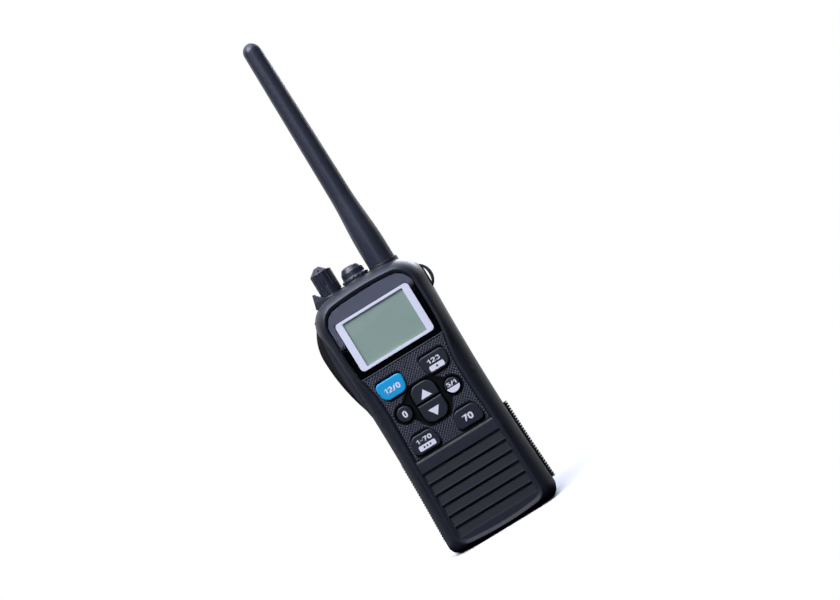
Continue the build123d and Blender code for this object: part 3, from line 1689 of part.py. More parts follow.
with BuildPart() as clip_base:
    block((-clip_half, clip_half), (-pack_back, -pack_back - base_thick), base_z)
    for side in (-1, 1):
        block(
            (side * (ear_half - ear_thick), side * ear_half),
            (-pack_back - base_thick / 2, -clip_pin_y),
            (clip_pin_z - ear_round, clip_pin_z + ear_round),
        )
        across(ear_round, ear_thick, side * (ear_half - ear_thick / 2))
    across(pin_radius + seat_gap, 2 * ear_half + through, mode=Mode.SUBTRACT)
    for x, z in clip_screws_at:
        with Locations(facing_back(x, pack_back + base_thick / 2, z)):
            Cone(clip_screw_shank + slip, clip_screw_head + slip, base_thick, mode=Mode.SUBTRACT)
clip_base.part.label = "clip_base"
export_step(clip_base.part, "parts/clip_base.step")

with BuildPart() as clip_screws:
    discs(clip_screws_at, clip_screw_shank, (-pack_back - base_thick / 2, -pack_back + clip_screw_length))
    for x, z in clip_screws_at:
        with Locations(facing_back(x, pack_back + base_thick / 2, z)):
            Cone(clip_screw_shank, clip_screw_head, base_thick)
        with Locations((x, pack_back + base_thick, z)):
            Box(clip_screw_slot[0], 2 * clip_screw_slot_deep, clip_screw_slot[1], mode=Mode.SUBTRACT)
            Box(clip_screw_slot[1], 2 * clip_screw_slot_deep, clip_screw_slot[0], mode=Mode.SUBTRACT)
clip_screws.part.label = "clip_screws"
export_step(clip_screws.part, "parts/clip_screws.step")

with BuildPart() as clip_pin:
    across(pin_radius, 2 * ear_half)
clip_pin.part.label = "clip_pin"
export_step(clip_pin.part, "parts/clip_pin.step")

hub_outer = ear_half - ear_thick - hub_gap
with BuildPart() as belt_clip:
    with BuildSketch(Plane.YZ.offset(-clip_half)) as arm:
        with BuildLine():
            Polyline(
                *[(arm_front + y, clip_foot + z) for y, z in clip_profile],
                (arm_back, clip_top - clip_thick),
                (arm_back - clip_thick / 3, clip_top),
                (arm_front + clip_thick / 3, clip_top),
                (arm_front, clip_top - clip_thick),
                close=True,
            )
        make_face()
    extrude(arm.sketch, amount=2 * clip_half)
    # two hubs on the pin, between the ears, with the spring between them
    for side in (-1, 1):
        block(
            (side * hub_inner, side * hub_outer),
            (-clip_pin_y, -arm_front - merge),
            (clip_pin_z - hub_half, clip_pin_z + hub_half),
        )
        across(hub_half, hub_outer - hub_inner, side * (hub_outer + hub_inner) / 2)
    across(pin_radius + running, 2 * ear_half, mode=Mode.SUBTRACT)
belt_clip.part.label = "belt_clip"
export_step(belt_clip.part, "parts/belt_clip.step")

coil_half = pin_radius + coil_room + clip_wire
with BuildPart() as clip_spring:
    with BuildLine() as clip_coil:
        Helix(
            pitch=coil_pitch,
            height=2 * (hub_inner - coil_end),
            radius=coil_half,
            center=(-hub_inner + coil_end, clip_pin_y, clip_pin_z),
            direction=(1, 0, 0),
        )
    with BuildSketch(Plane(origin=clip_coil.line @ 0, z_dir=clip_coil.line % 0)):
        Circle(clip_wire)
    sweep()
clip_spring.part.label = "clip_spring"
export_step(clip_spring.part, "parts/clip_spring.step")
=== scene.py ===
"""Finish of a handheld marine radio: mouldings, keys, display window, knobs, antenna and studio.

The radio stands on its foot at the origin, +Z up, its face looking along -Y. Sizes here are in
millimetres, and MM turns them to metres where a mesh, a pattern, a lamp or the camera is made.
"""
import math

import bmesh
import bpy
import numpy as np
from mathutils import Matrix, Vector


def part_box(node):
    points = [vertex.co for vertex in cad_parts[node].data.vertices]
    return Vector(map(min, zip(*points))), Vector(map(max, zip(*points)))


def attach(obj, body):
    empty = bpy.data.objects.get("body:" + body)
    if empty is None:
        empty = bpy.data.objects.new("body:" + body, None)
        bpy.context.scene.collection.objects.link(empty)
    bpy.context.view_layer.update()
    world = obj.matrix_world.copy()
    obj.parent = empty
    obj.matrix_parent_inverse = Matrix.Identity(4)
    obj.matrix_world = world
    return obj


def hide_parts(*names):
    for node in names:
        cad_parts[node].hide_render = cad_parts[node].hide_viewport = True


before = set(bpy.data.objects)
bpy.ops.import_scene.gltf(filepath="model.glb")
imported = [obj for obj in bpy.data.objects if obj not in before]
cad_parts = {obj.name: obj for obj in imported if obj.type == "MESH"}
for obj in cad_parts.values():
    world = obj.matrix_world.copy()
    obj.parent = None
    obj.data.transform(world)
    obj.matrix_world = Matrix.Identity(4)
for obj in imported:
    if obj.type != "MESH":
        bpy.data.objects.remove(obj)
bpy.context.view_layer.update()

MM = 0.001


# ======================================================================== sizes shared with the model
def node_box(name):
    """Lowest and highest corner of a node, in millimetres."""
    low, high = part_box(name)
    return np.array(low) / MM, np.array(high) / MM


foot_floor = 5.0           # height of the sunk face above the foot
grille_top = 43.3          # the grille panel ends here and the keypad begins
waist_height = 60.0
floor_half = (19.9, 19.4, 21.0)    # half width of the sunk face at its foot, waist and shoulder
floor_shoulder = 118.45    # height of that shoulder
floor_swell = [            # height, and how far the sunk face's side stands out from its arc there
    (36, 0), (46, -0.25), (56, -0.75), (66, -1.2), (73, -1.2), (79, -0.6), (85, 0.5), (91, 1.15),
]
keypad_foot = grille_top + 0.9
field_top = 86.2           # the keypad ends here, under the display
panel_y = -14.5            # face of the grille panel
floor_y = -14.0            # of the keypad
well_y = -13.5             # of the sunk field round the middle keys
row_low, row_mid, row_high = 50.0, 64.6, 77.3
key_column = 10.8          # of the large keys
round_column = 12.0        # of the round keys
key_gap = 0.55             # from a key to the wall of its opening
wedge_half, wedge_narrow, wedge_high, wedge_bend = 6.45, 5.6, 8.6, 0.86    # of a large key
wedge_round, wedge_cut_round = 2.2, 3.4
round_key_half = 3.6
rocker_half, rocker_down, rocker_up = 5.95, 9.75, 8.45    # both middle keys, from the middle row
knob_gap = 0.3             # from the deck to the foot of a knob
shaft_clear = 2.9          # radius of a washer's bore, which clears the knob's shaft
film_height = 101.1        # middle of the display's frame
film_half = (18.35, 11.85)


# ======================================================================== meshes
def put(name, data):
    """An object in the scene that shows a mesh, a curve, a lamp or a camera."""
    made = bpy.data.objects.new(name, data)
    bpy.context.scene.collection.objects.link(made)
    return made


def mesh_piece(name, points, faces, smooth=True):
    """A piece from points in millimetres and faces, in the shared frame."""
    mesh = bpy.data.meshes.new(name)
    mesh.from_pydata((np.asarray(points, float) * MM).tolist(), [], np.asarray(faces).tolist())
    mesh.validate()
    mesh.polygons.foreach_set("use_smooth", np.full(len(mesh.polygons), smooth))
    return put(name, mesh)


def dress(piece, body, material):
    """The piece rides on a body and is given its material, in its only slot."""
    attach(piece, body)
    piece.data.materials.clear()
    piece.data.materials.append(material)


# ======================================================================== material tools
def linear(hexes):
    """An sRGB hex colour as linear red, green, blue and alpha."""
    shares = [int(hexes[i:i + 2], 16) / 255 for i in (0, 2, 4)]
    return tuple(s / 12.92 if s <= 0.04045 else ((s + 0.055) / 1.055) ** 2.4 for s in shares) + (1.0,)


def add(tree, kind, sockets=(), **settings):
    """Adds a node with its settings, and sets each named input or links it to an output."""
    made = tree.nodes.new("ShaderNode" + kind)
    for key, value in settings.items():
        setattr(made, key, value)
    for key, value in dict(sockets).items():
        if isinstance(value, bpy.types.NodeSocket):
            tree.links.new(value, made.inputs[key])
        else:
            made.inputs[key].default_value = value
    return made


def new_material(name):
    """An empty material, its node tree, and the piece's own coordinates in it."""
    material = bpy.data.materials.new(name)
    material.use_nodes = True
    tree = material.node_tree
    tree.nodes.clear()
    place = add(tree, "TexCoord").outputs["Object"]
    return material, tree, place


def shade(tree, surface):
    """Adds a material's output and links a shader to it."""
    add(tree, "OutputMaterial", {"Surface": surface})


def noise(tree, place, size, detail=2.0):
    """Noise whose blobs are about size millimetres across."""
    sockets = {"Vector": place, "Scale": 1 / (size * MM), "Detail": detail}
    return add(tree, "TexNoise", sockets).outputs["Fac"]


def between(tree, fac, low, high, start=0.0, end=1.0):
    """Maps a value from the range start..end to low..high."""
    sockets = {"Value": fac, "From Min": start, "From Max": end, "To Min": low, "To Max": high}
    return add(tree, "MapRange", sockets).outputs["Result"]


def uneven(tree, fac, low, high):
    """A value that wanders from low to high with a noise, which is mostly between 0.3 and 0.7."""
    return between(tree, fac, low, high, 0.3, 0.7)


def times(tree, first, second):
    """The product of two shares."""
    return add(tree, "Math", {0: first, 1: second}, operation="MULTIPLY").outputs[0]


def blend_colour(tree, fac, first, second):
    """Mixes two colours, each a socket or a linear colour."""
    return add(tree, "Mix", {0: fac, 6: first, 7: second}, data_type="RGBA").outputs[2]


def grain(tree, place, size, depth, normal=None):
    """Bump of fine grain: size across and depth high, both in millimetres."""
    sockets = {"Height": noise(tree, place, size), "Distance": depth * MM, "Strength": 1.0}
    if normal is not None:
        sockets["Normal"] = normal
    return add(tree, "Bump", sockets).outputs["Normal"]


def rounded(tree, radius):
    """The surface normal as if every edge were rounded by a radius in millimetres."""
    return add(tree, "Bevel", {"Radius": radius * MM}, samples=6).outputs["Normal"]


edge_turn = 0.12           # how far the cosine between the two normals has fallen where the share is 1
zone_blur = 0.1            # over which a zone fades outside its box


def edge_share(tree, soft_normal):
    """1 on edges and 0 on open faces: how far the rounded normal has turned from the true one."""
    true_normal = add(tree, "NewGeometry").outputs["Normal"]
    pair = {0: soft_normal, 1: true_normal}
    agree = add(tree, "VectorMath", pair, operation="DOT_PRODUCT").outputs["Value"]
    return between(tree, agree, 1.0, 0.0, 1 - edge_turn, 1.0)


def inside_box(tree, place, box):
    """1 inside a box, which is a range along x, along y and along z in millimetres, and 0 outside it."""
    axes = add(tree, "SeparateXYZ", {0: place})
    share = 1.0
    for axis, (start, end) in zip("XYZ", box):
        for edge, side in ((start, -1), (end, 1)):
            within = between(tree, axes.outputs[axis], 1.0, 0.0, edge * MM, (edge + side * zone_blur) * MM)
            share = times(tree, within, share)
    return share


def zoned(tree, place, tone, zones):
    """A tone and the usual gloss, with each zone's colour and gloss inside its box."""
    gloss = 0.5
    for box, colour, zone_gloss in zones:
        share = inside_box(tree, place, box)
        tone = blend_colour(tree, share, tone, linear(colour))
        gloss = between(tree, share, gloss, zone_gloss)
    return tone, gloss


# ======================================================================== materials
edge_wear_and_highlight_share = 0.5           # of the paler edge tone, partly wear and partly painted highlight, on an edge
worn_smoother = 0.08       # roughness that an edge has lost


def moulded(name, colour, mottled, edge_wear_and_highlight, roughness, grain_size, grain_depth, edge=0.35, ior=1.47, zones=()):
    """Injection-moulded plastic from a spark-eroded mould: a satin skin of fine grain, slightly uneven in
    tone, with its edges smoother from handling, and paler partly from that wear and partly as a painted
    highlight. In each zone, a box with a colour and a gloss, shade or a highlight is painted: darker where
    shade falls in recesses and gaps, lighter and glossier where light falls."""
    material, tree, place = new_material(name)
    soft = rounded(tree, edge)
    wear_and_highlight_edges = edge_share(tree, soft)
    tone = blend_colour(tree, noise(tree, place, 9.0, detail=3.0), linear(colour), linear(mottled))
    # paler edges: partly wear, partly a painted highlight
    tone = blend_colour(tree, between(tree, wear_and_highlight_edges, 0.0, edge_wear_and_highlight_share), tone, linear(edge_wear_and_highlight))
    rough = uneven(tree, noise(tree, place, 2.2, detail=3.0), roughness - 0.05, roughness + 0.06)
    polish = {0: rough, 1: between(tree, wear_and_highlight_edges, 0.0, worn_smoother)}
    rough = add(tree, "Math", polish, operation="SUBTRACT").outputs[0]
    bump = grain(tree, place, grain_size, grain_depth, soft)
    tone, gloss = zoned(tree, place, tone, zones)
    sockets = {"Base Color": tone, "Roughness": rough, "Normal": bump, "IOR": ior}
    sockets["Specular IOR Level"] = gloss
    shade(tree, add(tree, "BsdfPrincipled", sockets).outputs[0])
    return material


def silicone(name, colour, mottled, roughness, zones=()):
    """Moulded silicone rubber with a sprayed matt coat: soft-looking, even, with a faint orange peel. In
    each zone, a box with a colour and a gloss, shade is painted, such as near black in the gaps round the
    keys and between the two middle keys."""
    material, tree, place = new_material(name)
    soft = rounded(tree, 0.4)
    tone = blend_colour(tree, noise(tree, place, 3.5), linear(colour), linear(mottled))
    tone, gloss = zoned(tree, place, tone, zones)
    rough = uneven(tree, noise(tree, place, 1.1), roughness - 0.04, roughness + 0.06)
    bump = grain(tree, place, 0.5, 0.012, soft)
    sockets = {"Base Color": tone, "Roughness": rough, "Normal": bump, "IOR": 1.41}
    sockets["Specular IOR Level"] = gloss
    shade(tree, add(tree, "BsdfPrincipled", sockets).outputs[0])
    return material


film_blur = 0.3            # over which the film's edge fades
film_mirror = 0.15         # of the bare acrylic's reflection, where the film is


def acrylic_window():
    """Clear acrylic, hard-coated and polished: what lies behind shows through, and its front mirrors the
    room by its Fresnel share, but much less over the display, where it has an anti-reflective film."""
    material, tree, place = new_material("polished_acrylic")
    clear = add(tree, "BsdfTransparent", {"Color": linear("fbfcfd")})
    mirror = add(tree, "BsdfGlossy", {"Color": linear("ffffff"), "Roughness": 0.03})
    axes = add(tree, "SeparateXYZ", {0: place})
    outside = []
    for axis, middle, half in (("X", 0.0, film_half[0]), ("Z", film_height, film_half[1])):
        away = add(tree, "Math", {0: axes.outputs[axis], 1: middle * MM}, operation="SUBTRACT").outputs[0]
        away = add(tree, "Math", {0: away}, operation="ABSOLUTE").outputs[0]
        outside.append(between(tree, away, 0.0, 1.0, half * MM, (half + film_blur) * MM))
    bare = add(tree, "Math", {0: outside[0], 1: outside[1]}, operation="MAXIMUM").outputs[0]
    share = add(tree, "Fresnel", {"IOR": 1.49}).outputs[0]
    share = times(tree, share, between(tree, bare, film_mirror, 1.0))
    front = between(tree, add(tree, "NewGeometry").outputs["Backfacing"], 1.0, 0.0)
    share = times(tree, share, front)
    shade(tree, add(tree, "MixShader", {0: share, 1: clear.outputs[0], 2: mirror.outputs[0]}).outputs[0])
    return material


def printed_ink(name, colour, mottled, roughness, gloss=0.5):
    """Screen-printed ink: an even film, with the faint mottle of the mesh it was pressed through."""
    material, tree, place = new_material(name)
    tone = blend_colour(tree, noise(tree, place, 0.6), linear(colour), linear(mottled))
    rough = uneven(tree, noise(tree, place, 0.8), roughness - 0.05, roughness + 0.05)
    sockets = {"Base Color": tone, "Roughness": rough, "Normal": grain(tree, place, 0.3, 0.004)}
    sockets["Specular IOR Level"] = gloss
    shade(tree, add(tree, "BsdfPrincipled", sockets).outputs[0])
    return material


def silver_paint():
    """Silver paint on moulded plastic: fine flake, satin, a little brighter where flakes lie flat."""
    material, tree, place = new_material("sprayed_silver_paint")
    flake = noise(tree, place, 0.25, detail=3.0)
    tone = blend_colour(tree, flake, linear("dcdde6"), linear("ececf4"))
    rough = uneven(tree, flake, 0.36, 0.5)
    sockets = {"Base Color": tone, "Roughness": rough, "Normal": rounded(tree, 0.15)}
    shade(tree, add(tree, "BsdfPrincipled", sockets).outputs[0])
    return material


def liquid_crystal():
    """An unlit reflective display: the grey-green of a polariser over a diffuser, with satin gloss."""
    material, tree, place = new_material("polariser_film_on_glass")
    tone = blend_colour(tree, noise(tree, place, 14.0), linear("889d8b"), linear("8fa492"))
    rough = uneven(tree, noise(tree, place, 0.3), 0.26, 0.34)
    sockets = {"Base Color": tone, "Roughness": rough, "Normal": grain(tree, place, 0.3, 0.002), "IOR": 1.5}
    shade(tree, add(tree, "BsdfPrincipled", sockets).outputs[0])
    return material


def gap_shade_matt(name, colour, mottled):
    """Near-black matt fibres with no gloss at all: painted shade, standing in for the dark gap under a
    knob.
    """
    material, tree, place = new_material(name)
    tone = blend_colour(tree, noise(tree, place, 0.4, detail=4.0), linear(colour), linear(mottled))
    rough = uneven(tree, noise(tree, place, 0.2), 0.85, 0.98)
    sockets = {"Base Color": tone, "Roughness": rough, "Normal": grain(tree, place, 0.15, 0.03)}
    sockets["Specular IOR Level"] = 0.05
    shade(tree, add(tree, "BsdfPrincipled", sockets).outputs[0])
    return material


def metal(name, colour, mottled, roughness):
    """Machined or plated metal: bright, with fine tool marks and patches of handling haze."""
    material, tree, place = new_material(name)
    tone = blend_colour(tree, noise(tree, place, 2.5), linear(colour), linear(mottled))
    rough = uneven(tree, noise(tree, place, 0.4), roughness - 0.06, roughness + 0.08)
    bump = grain(tree, place, 0.12, 0.003, rounded(tree, 0.1))
    sockets = {"Base Color": tone, "Roughness": rough, "Normal": bump, "Metallic": 1.0}
    shade(tree, add(tree, "BsdfPrincipled", sockets).outputs[0])
    return material


lattice_step = 0.25        # between grid points
lattice_pitch = 1.05       # between ridges, measured across them; drawn a little coarse so that it shows
lattice_high = 0.2
lattice_narrow = 1.6       # the pitch over the width of a ridge's foot
lattice_margin = 0.45      # painted shade: a dark border round the sheet, along its walls and the key openings, before its ridges rise
lattice_fade = 0.2         # over which the ridges rise from the border


def lattice_plastic():
    """The housing's plastic where the mould was milled with a lattice, shaded by height: the ridge tops
    lighter and glossier as a painted highlight, the grain between them dark and nearly without gloss as
    painted shade."""
    material, tree, place = new_material("moulded_lattice_panel")
    rise = add(tree, "SeparateXYZ", {0: place}).outputs["Y"]
    ridge = between(tree, rise, 0.0, 1.0, floor_y * MM, (floor_y - lattice_high) * MM)
    # painted shade between the ridges and a painted highlight on their tops
    tone = blend_colour(tree, ridge, linear("050609"), linear("3b404e"))
    rough = uneven(tree, noise(tree, place, 2.0), 0.42, 0.54)
    bump = grain(tree, place, 0.2, 0.006)
    sockets = {"Base Color": tone, "Roughness": rough, "Normal": bump, "IOR": 1.47}
    sockets["Specular IOR Level"] = between(tree, ridge, 0.08, 0.5)
    shade(tree, add(tree, "BsdfPrincipled", sockets).outputs[0])
    return material


# ======================================================================== zones of painted shade and highlight
# near black, painted as the shade in the gaps round the keys and in their openings
gap_shade_black = "030304"
middle_y = 0.0             # the zones of the face end here, well behind its surfaces
key_front = -16.0          # in front of all keys
skirt_shade_edge = -14.45         # behind this, a key's skirt is painted near black: painted shade in the gap round the key
under_panel, under_floor = panel_y + 0.1, floor_y + 0.1
skirts = (-60.0, 60.0), (skirt_shade_edge, middle_y), (0.0, 130.0)
groove = (-6.3, 6.3), (key_front, middle_y), (row_mid - 0.5, row_mid + 0.4)
key_holes = (-18.7, 18.7), (under_floor, middle_y), (keypad_foot + 0.2, field_top - 0.3)
louvre_slots = (-22.0, 22.0), (under_panel, middle_y), (foot_floor + 1.0, grille_top - 4.7)
panel_step = (-20.5, 20.5), (under_panel, under_floor), (grille_top - 0.1, keypad_foot)
guard_horn = (-40.0, -16.5), (-20.0, 20.0), (125.5, 140.0)

# each zone is a box, as ranges along x, y and z, with the colour and the gloss inside it
key_zones = [
    # painted shade: near black on the keys' skirts, in the gaps round the keys
    (skirts, gap_shade_black, 0.05),
    (groove, "08090c", 0.15),              # painted shade in the split between the two middle keys
]
housing_zones = [
    # painted shade: near black on the walls of the key openings
    (key_holes, gap_shade_black, 0.05),
    # painted shade: dark in the louvres' grooves and slots
    (louvre_slots, "0c1018", 0.3),
    (panel_step, "0c0e13", 0.25),          # painted shade on the step from the grille panel down to the keypad
    (guard_horn, "2e323c", 0.7),           # painted highlight: lighter and glossier beside the tall knob, where light falls
]


# ======================================================================== finish of every node
housing = moulded(
    "moulded_polycarbonate", "1a1e26", "1f232c", "3a3e4a",
    roughness=0.43, grain_size=0.22, grain_depth=0.012, edge=0.45, zones=housing_zones,
)
pack_case = moulded(
    "moulded_abs_blend", "171a20", "1a1d24", "30333d",
    roughness=0.46, grain_size=0.3, grain_depth=0.018,
)
knob_skin = moulded(
    "moulded_knob_elastomer", "1e2129", "22252e", "4b5060",
    roughness=0.33, grain_size=0.18, grain_depth=0.01, edge=0.3,
)
sheath_skin = moulded(
    "moulded_polyurethane_sheath", "262934", "2b2e39", "3f434f",
    roughness=0.38, grain_size=0.35, grain_depth=0.02, edge=0.4,
)
talk_skin = moulded(
    "moulded_soft_key", "08090b", "0a0b0e", "2a2d36",
    roughness=0.5, grain_size=0.2, grain_depth=0.01, edge=0.5, ior=1.34,
)
lattice_skin = lattice_plastic()
well_skin = printed_ink("masked_matt_recess", "06070a", "08090c", 0.6, 0.1)
key_skin = silicone("coated_silicone_black", "191d24", "1d2129", 0.42, key_zones)
blue_skin = silicone("coated_silicone_blue", "0694c8", "0a98cc", 0.4, key_zones)
window_skin = acrylic_window()
black_print = printed_ink("screen_printed_black", "040507", "050608", 0.3, 0.0)
white_print = printed_ink("screen_printed_white", "d4d6de", "dcdee6", 0.5)
silver_skin = silver_paint()
display_skin = liquid_crystal()
guide_skin = printed_ink("moulded_light_guide", "c9d2cf", "d3dbd8", 0.35)
rubber_skin = silicone("moulded_epdm_rubber", "17181b", "1c1d20", 0.62)
board_skin = printed_ink("solder_resist_on_laminate", "0f3a26", "13452e", 0.4)
membrane_skin = silicone("stretched_ptfe_film", "141518", "18191d", 0.7)
steel_skin = metal("passivated_steel", "8b8d92", "a3a5aa", 0.34)
magnet_skin = metal("nickel_plated_magnet", "9a9892", "aaa8a1", 0.28)
brass_skin = metal("gold_flashed_brass", "b08d45", "c29c52", 0.3)
# painted shade under the knobs
gap_shade_skin = gap_shade_matt("black_gap_shade_matt", "08090b", "0c0d10")
cell_skin = printed_ink("shrink_film_on_cells", "2a4a6e", "2f5279", 0.3)

slot_finish = {
    "housing_plastic": housing,
    "battery_plastic": pack_case,
    "knob_plastic": knob_skin,
    "key_plastic": key_skin,
    "blue_plastic": blue_skin,
    "lens_plastic": window_skin,
    "print": black_print,
    "silver_plastic": silver_skin,
    "display_glass": display_skin,
    "light_guide": guide_skin,
    "rubber": rubber_skin,
    "board": board_skin,
    "membrane": membrane_skin,
    "steel": steel_skin,
    "magnet": magnet_skin,
    "brass": brass_skin,
    "cell": cell_skin,
}
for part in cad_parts.values():
    for holder in part.material_slots:
        holder.material = slot_finish[holder.material.name.split(".")[0]]
for name, skin in (("antenna_sheath", sheath_skin), ("talk_key", talk_skin)):
    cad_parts[name].material_slots[0].material = skin


# ======================================================================== display window
pane_same = 0.0005         # points nearer than this are one
pane_flat = 0.01           # points of the back face lie within this of its plane
pane_forward = 0.03


def window_pane():
    """The window's own mesh, merged, with its back face drawn forward by a hair, so that the pane doesn't
    share a face with the print and the frame that it lies on."""
    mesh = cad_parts["display_lens"].data.copy()
    mesh.name = "window_pane"
    merged = bmesh.new()
    merged.from_mesh(mesh)
    bmesh.ops.remove_doubles(merged, verts=merged.verts, dist=pane_same * MM)
    back = max(v.co.y for v in merged.verts)
    for v in merged.verts:
        if v.co.y > back - pane_flat * MM:
            v.co.y -= pane_forward * MM
    merged.to_mesh(mesh)
    merged.free()
    pane = put("window_pane", mesh)
    dress(pane, "radio", window_skin)
    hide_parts("display_lens")


window_pane()


# ======================================================================== raised lattice of the keypad
sheet_gap = 0.03           # from a sheet's edge to the wall beside it
sheet_proud = 0.01         # from the face that a sheet lies on to the sheet


def arc_half(z, foot, waist, shoulder, top):
    """Half width at a height, on the circle through (foot, foot_floor), (waist, waist_height) and
    (shoulder, top): its middle is worked out from the three points' squared distances."""
    (x1, z1), (x2, z2), (x3, z3) = (foot, foot_floor), (waist, waist_height), (shoulder, top)
    twice = 2 * (x1 * (z2 - z3) + x2 * (z3 - z1) + x3 * (z1 - z2))
    s1, s2, s3 = x1 * x1 + z1 * z1, x2 * x2 + z2 * z2, x3 * x3 + z3 * z3
    middle_x = (s1 * (z2 - z3) + s2 * (z3 - z1) + s3 * (z1 - z2)) / twice
    middle_z = (s1 * (x3 - x2) + s2 * (x1 - x3) + s3 * (x2 - x1)) / twice
    radius = math.hypot(x1 - middle_x, z1 - middle_z)
    return middle_x - np.sqrt(radius ** 2 - (z - middle_z) ** 2)


def convex_distance(x, z, corners, radius):
    """Distance outside a convex shape with rounded corners: the largest of its edges' distances, with the
    positive ones joined as the root of their squares so that the corners come out round."""
    corners = np.asarray(corners, float)
    after = np.roll(corners, -1, axis=0)
    if np.sum(corners[:, 0] * after[:, 1] - after[:, 0] * corners[:, 1]) < 0:
        corners, after = after[::-1], corners[::-1]
    along = after - corners
    along /= np.linalg.norm(along, axis=1, keepdims=True)
    outward = np.stack([along[:, 1], -along[:, 0]], axis=1)
    reach = np.sum(outward * corners, axis=1)
    apart = x[..., None] * outward[:, 0] + z[..., None] * outward[:, 1] - reach + radius
    return np.sqrt(np.sum(np.maximum(apart, 0) ** 2, axis=-1)) + np.minimum(apart.max(axis=-1), 0) - radius


def wedge_corners(x, z, facing, taller=0.0):
    """A large key: straight shoulders on one side, corners cut back on the other."""
    top, low = z + facing * (wedge_high / 2 + taller), z - facing * wedge_high / 2
    bend = z + facing * wedge_bend
    right = [(x + wedge_narrow, low), (x + wedge_half, bend), (x + wedge_half, top)]
    left = [(x - wedge_half, top), (x - wedge_half, bend), (x - wedge_narrow, low)]
    return right + left


def wedge_distance(x, z, key):
    """Distance outside a large key: the larger of the distances to its outline with the tight corners and
    to a taller one with the wide corners, which then round the cut side alone."""
    tight = convex_distance(x, z, wedge_corners(*key), wedge_round)
    wide = convex_distance(x, z, wedge_corners(*key, taller=wedge_high), wedge_cut_round)
    return np.maximum(tight, wide)


well_right = [(4.9, -10.45), (9.6, -3.75), (10.6, 4.15), (4.7, 9.15)]    # x, and height from the middle row
well_round = 0.4           # of those corners
well_circle = 4.4          # radius of the field round each round key
rocker_round = 5.0         # of the opening's corners
wedge_keys = [             # middle x and z, and 1 where the cut side is below or -1 where it is above
    (-key_column, row_high, 1), (key_column, row_high, 1),
    (-key_column, row_low, -1), (key_column, row_low, -1),
]


def well_distance(x, z):
    """Distance outside the sunk field: a rounded polygon with a circle round each round key."""
    well = [(a, row_mid + b) for a, b in well_right] + [(-a, row_mid + b) for a, b in well_right[::-1]]
    circles = np.hypot(np.abs(x) - round_column, z - row_mid) - well_circle
    return np.minimum(convex_distance(x, z, well, well_round), circles)


def field_inside(x, z):
    """How far a point lies inside the keypad's field: the least of its distances to the field's sides, foot
    and top, to the openings of the large keys and to the sunk well of the middle keys."""
    half = arc_half(z, *floor_half, floor_shoulder) + np.interp(z, *np.transpose(floor_swell)) - sheet_gap
    inside = np.minimum.reduce([half - np.abs(x), z - keypad_foot, field_top - z])
    for key in wedge_keys:
        inside = np.minimum(inside, wedge_distance(x, z, key) - key_gap - sheet_gap)
    return np.minimum(inside, well_distance(x, z) - sheet_gap)


def well_inside(x, z):
    """How far a point lies inside the sunk field and outside the openings of the middle keys."""
    half = rocker_half + key_gap
    low, top = row_mid - rocker_down - key_gap, row_mid + rocker_up + key_gap
    rocker = [(half, low), (half, top), (-half, top), (-half, low)]
    circles = np.hypot(np.abs(x) - round_column, z - row_mid) - round_key_half - key_gap
    openings = np.minimum(convex_distance(x, z, rocker, rocker_round), circles)
    return np.minimum(-well_distance(x, z), openings) - sheet_gap


sheet_half = max(floor_half) + 1.0
small_step = 0.01          # for a slope by differences


def cell_corners(grid):
    """The values at the four corners of each cell of a grid, in turn round the cell."""
    return np.stack([grid[:-1, :-1], grid[:-1, 1:], grid[1:, 1:], grid[1:, :-1]], axis=-1)


def fitted_sheet(name, inside_of, shape, material):
    """A sheet over the part of the keypad where inside_of is positive. Grid points that fall just outside
    it are drawn to its edge, by point = point - outside * slope, and cells that lie wholly outside are left
    out. shape gives y at each point."""
    columns = np.arange(-sheet_half, sheet_half + lattice_step, lattice_step)
    rows = np.arange(keypad_foot - lattice_step, field_top + 2 * lattice_step, lattice_step)
    x, z = np.meshgrid(columns, rows)
    inside = inside_of(x, z)
    slope_x = (inside_of(x + small_step, z) - inside) / small_step
    slope_z = (inside_of(x, z + small_step) - inside) / small_step
    outside = np.minimum(inside, 0)
    near_x, near_z = x - outside * slope_x, z - outside * slope_z
    cells = cell_corners(np.arange(x.size).reshape(x.shape))
    faces = cells[cell_corners(inside).max(axis=-1) > 0]
    used = np.unique(faces)
    place = np.full(x.size, -1)
    place[used] = np.arange(used.size)
    points = np.stack([near_x, shape(near_x, near_z, inside), near_z], axis=-1).reshape(-1, 3)[used]
    dress(mesh_piece(name, points, place[faces], smooth=False), "radio", material)


def lattice_shape(x, z, inside):
    """y = floor - high * ridge, where ridge is the larger of two triangle waves that run along x + z and
    x - z, cut off below zero, and fades out towards the sheet's edge."""
    waves = []
    for across in ((x + z) / math.sqrt(2), (x - z) / math.sqrt(2)):
        share = across / lattice_pitch
        waves.append(1 - np.abs(2 * (share - np.floor(share)) - 1) * lattice_narrow)
    ridge = np.clip(np.maximum(*waves), 0, 1) * np.clip((inside - lattice_margin) / lattice_fade, 0, 1)
    return floor_y - sheet_proud - lattice_high * ridge


def flat_shape(x, z, inside):
    """y = the sunk field's floor, less a hair."""
    return np.full_like(x, well_y - sheet_proud)


fitted_sheet("keypad_lattice", field_inside, lattice_shape, lattice_skin)
fitted_sheet("keypad_well", well_inside, flat_shape, well_skin)


# ======================================================================== outlines in a plane
oval_points = 45
corner_points = 7          # round each corner of a bar
star_waist = 0.42          # how near a star's notches are, as a share of its points' radius


def turn(radius, start, end, count, centre=(0.0, 0.0)):
    """Points on a circular arc between two angles in degrees."""
    angles = np.radians(np.linspace(start, end, count))
    return list(zip(centre[0] + radius * np.cos(angles), centre[1] + radius * np.sin(angles)))


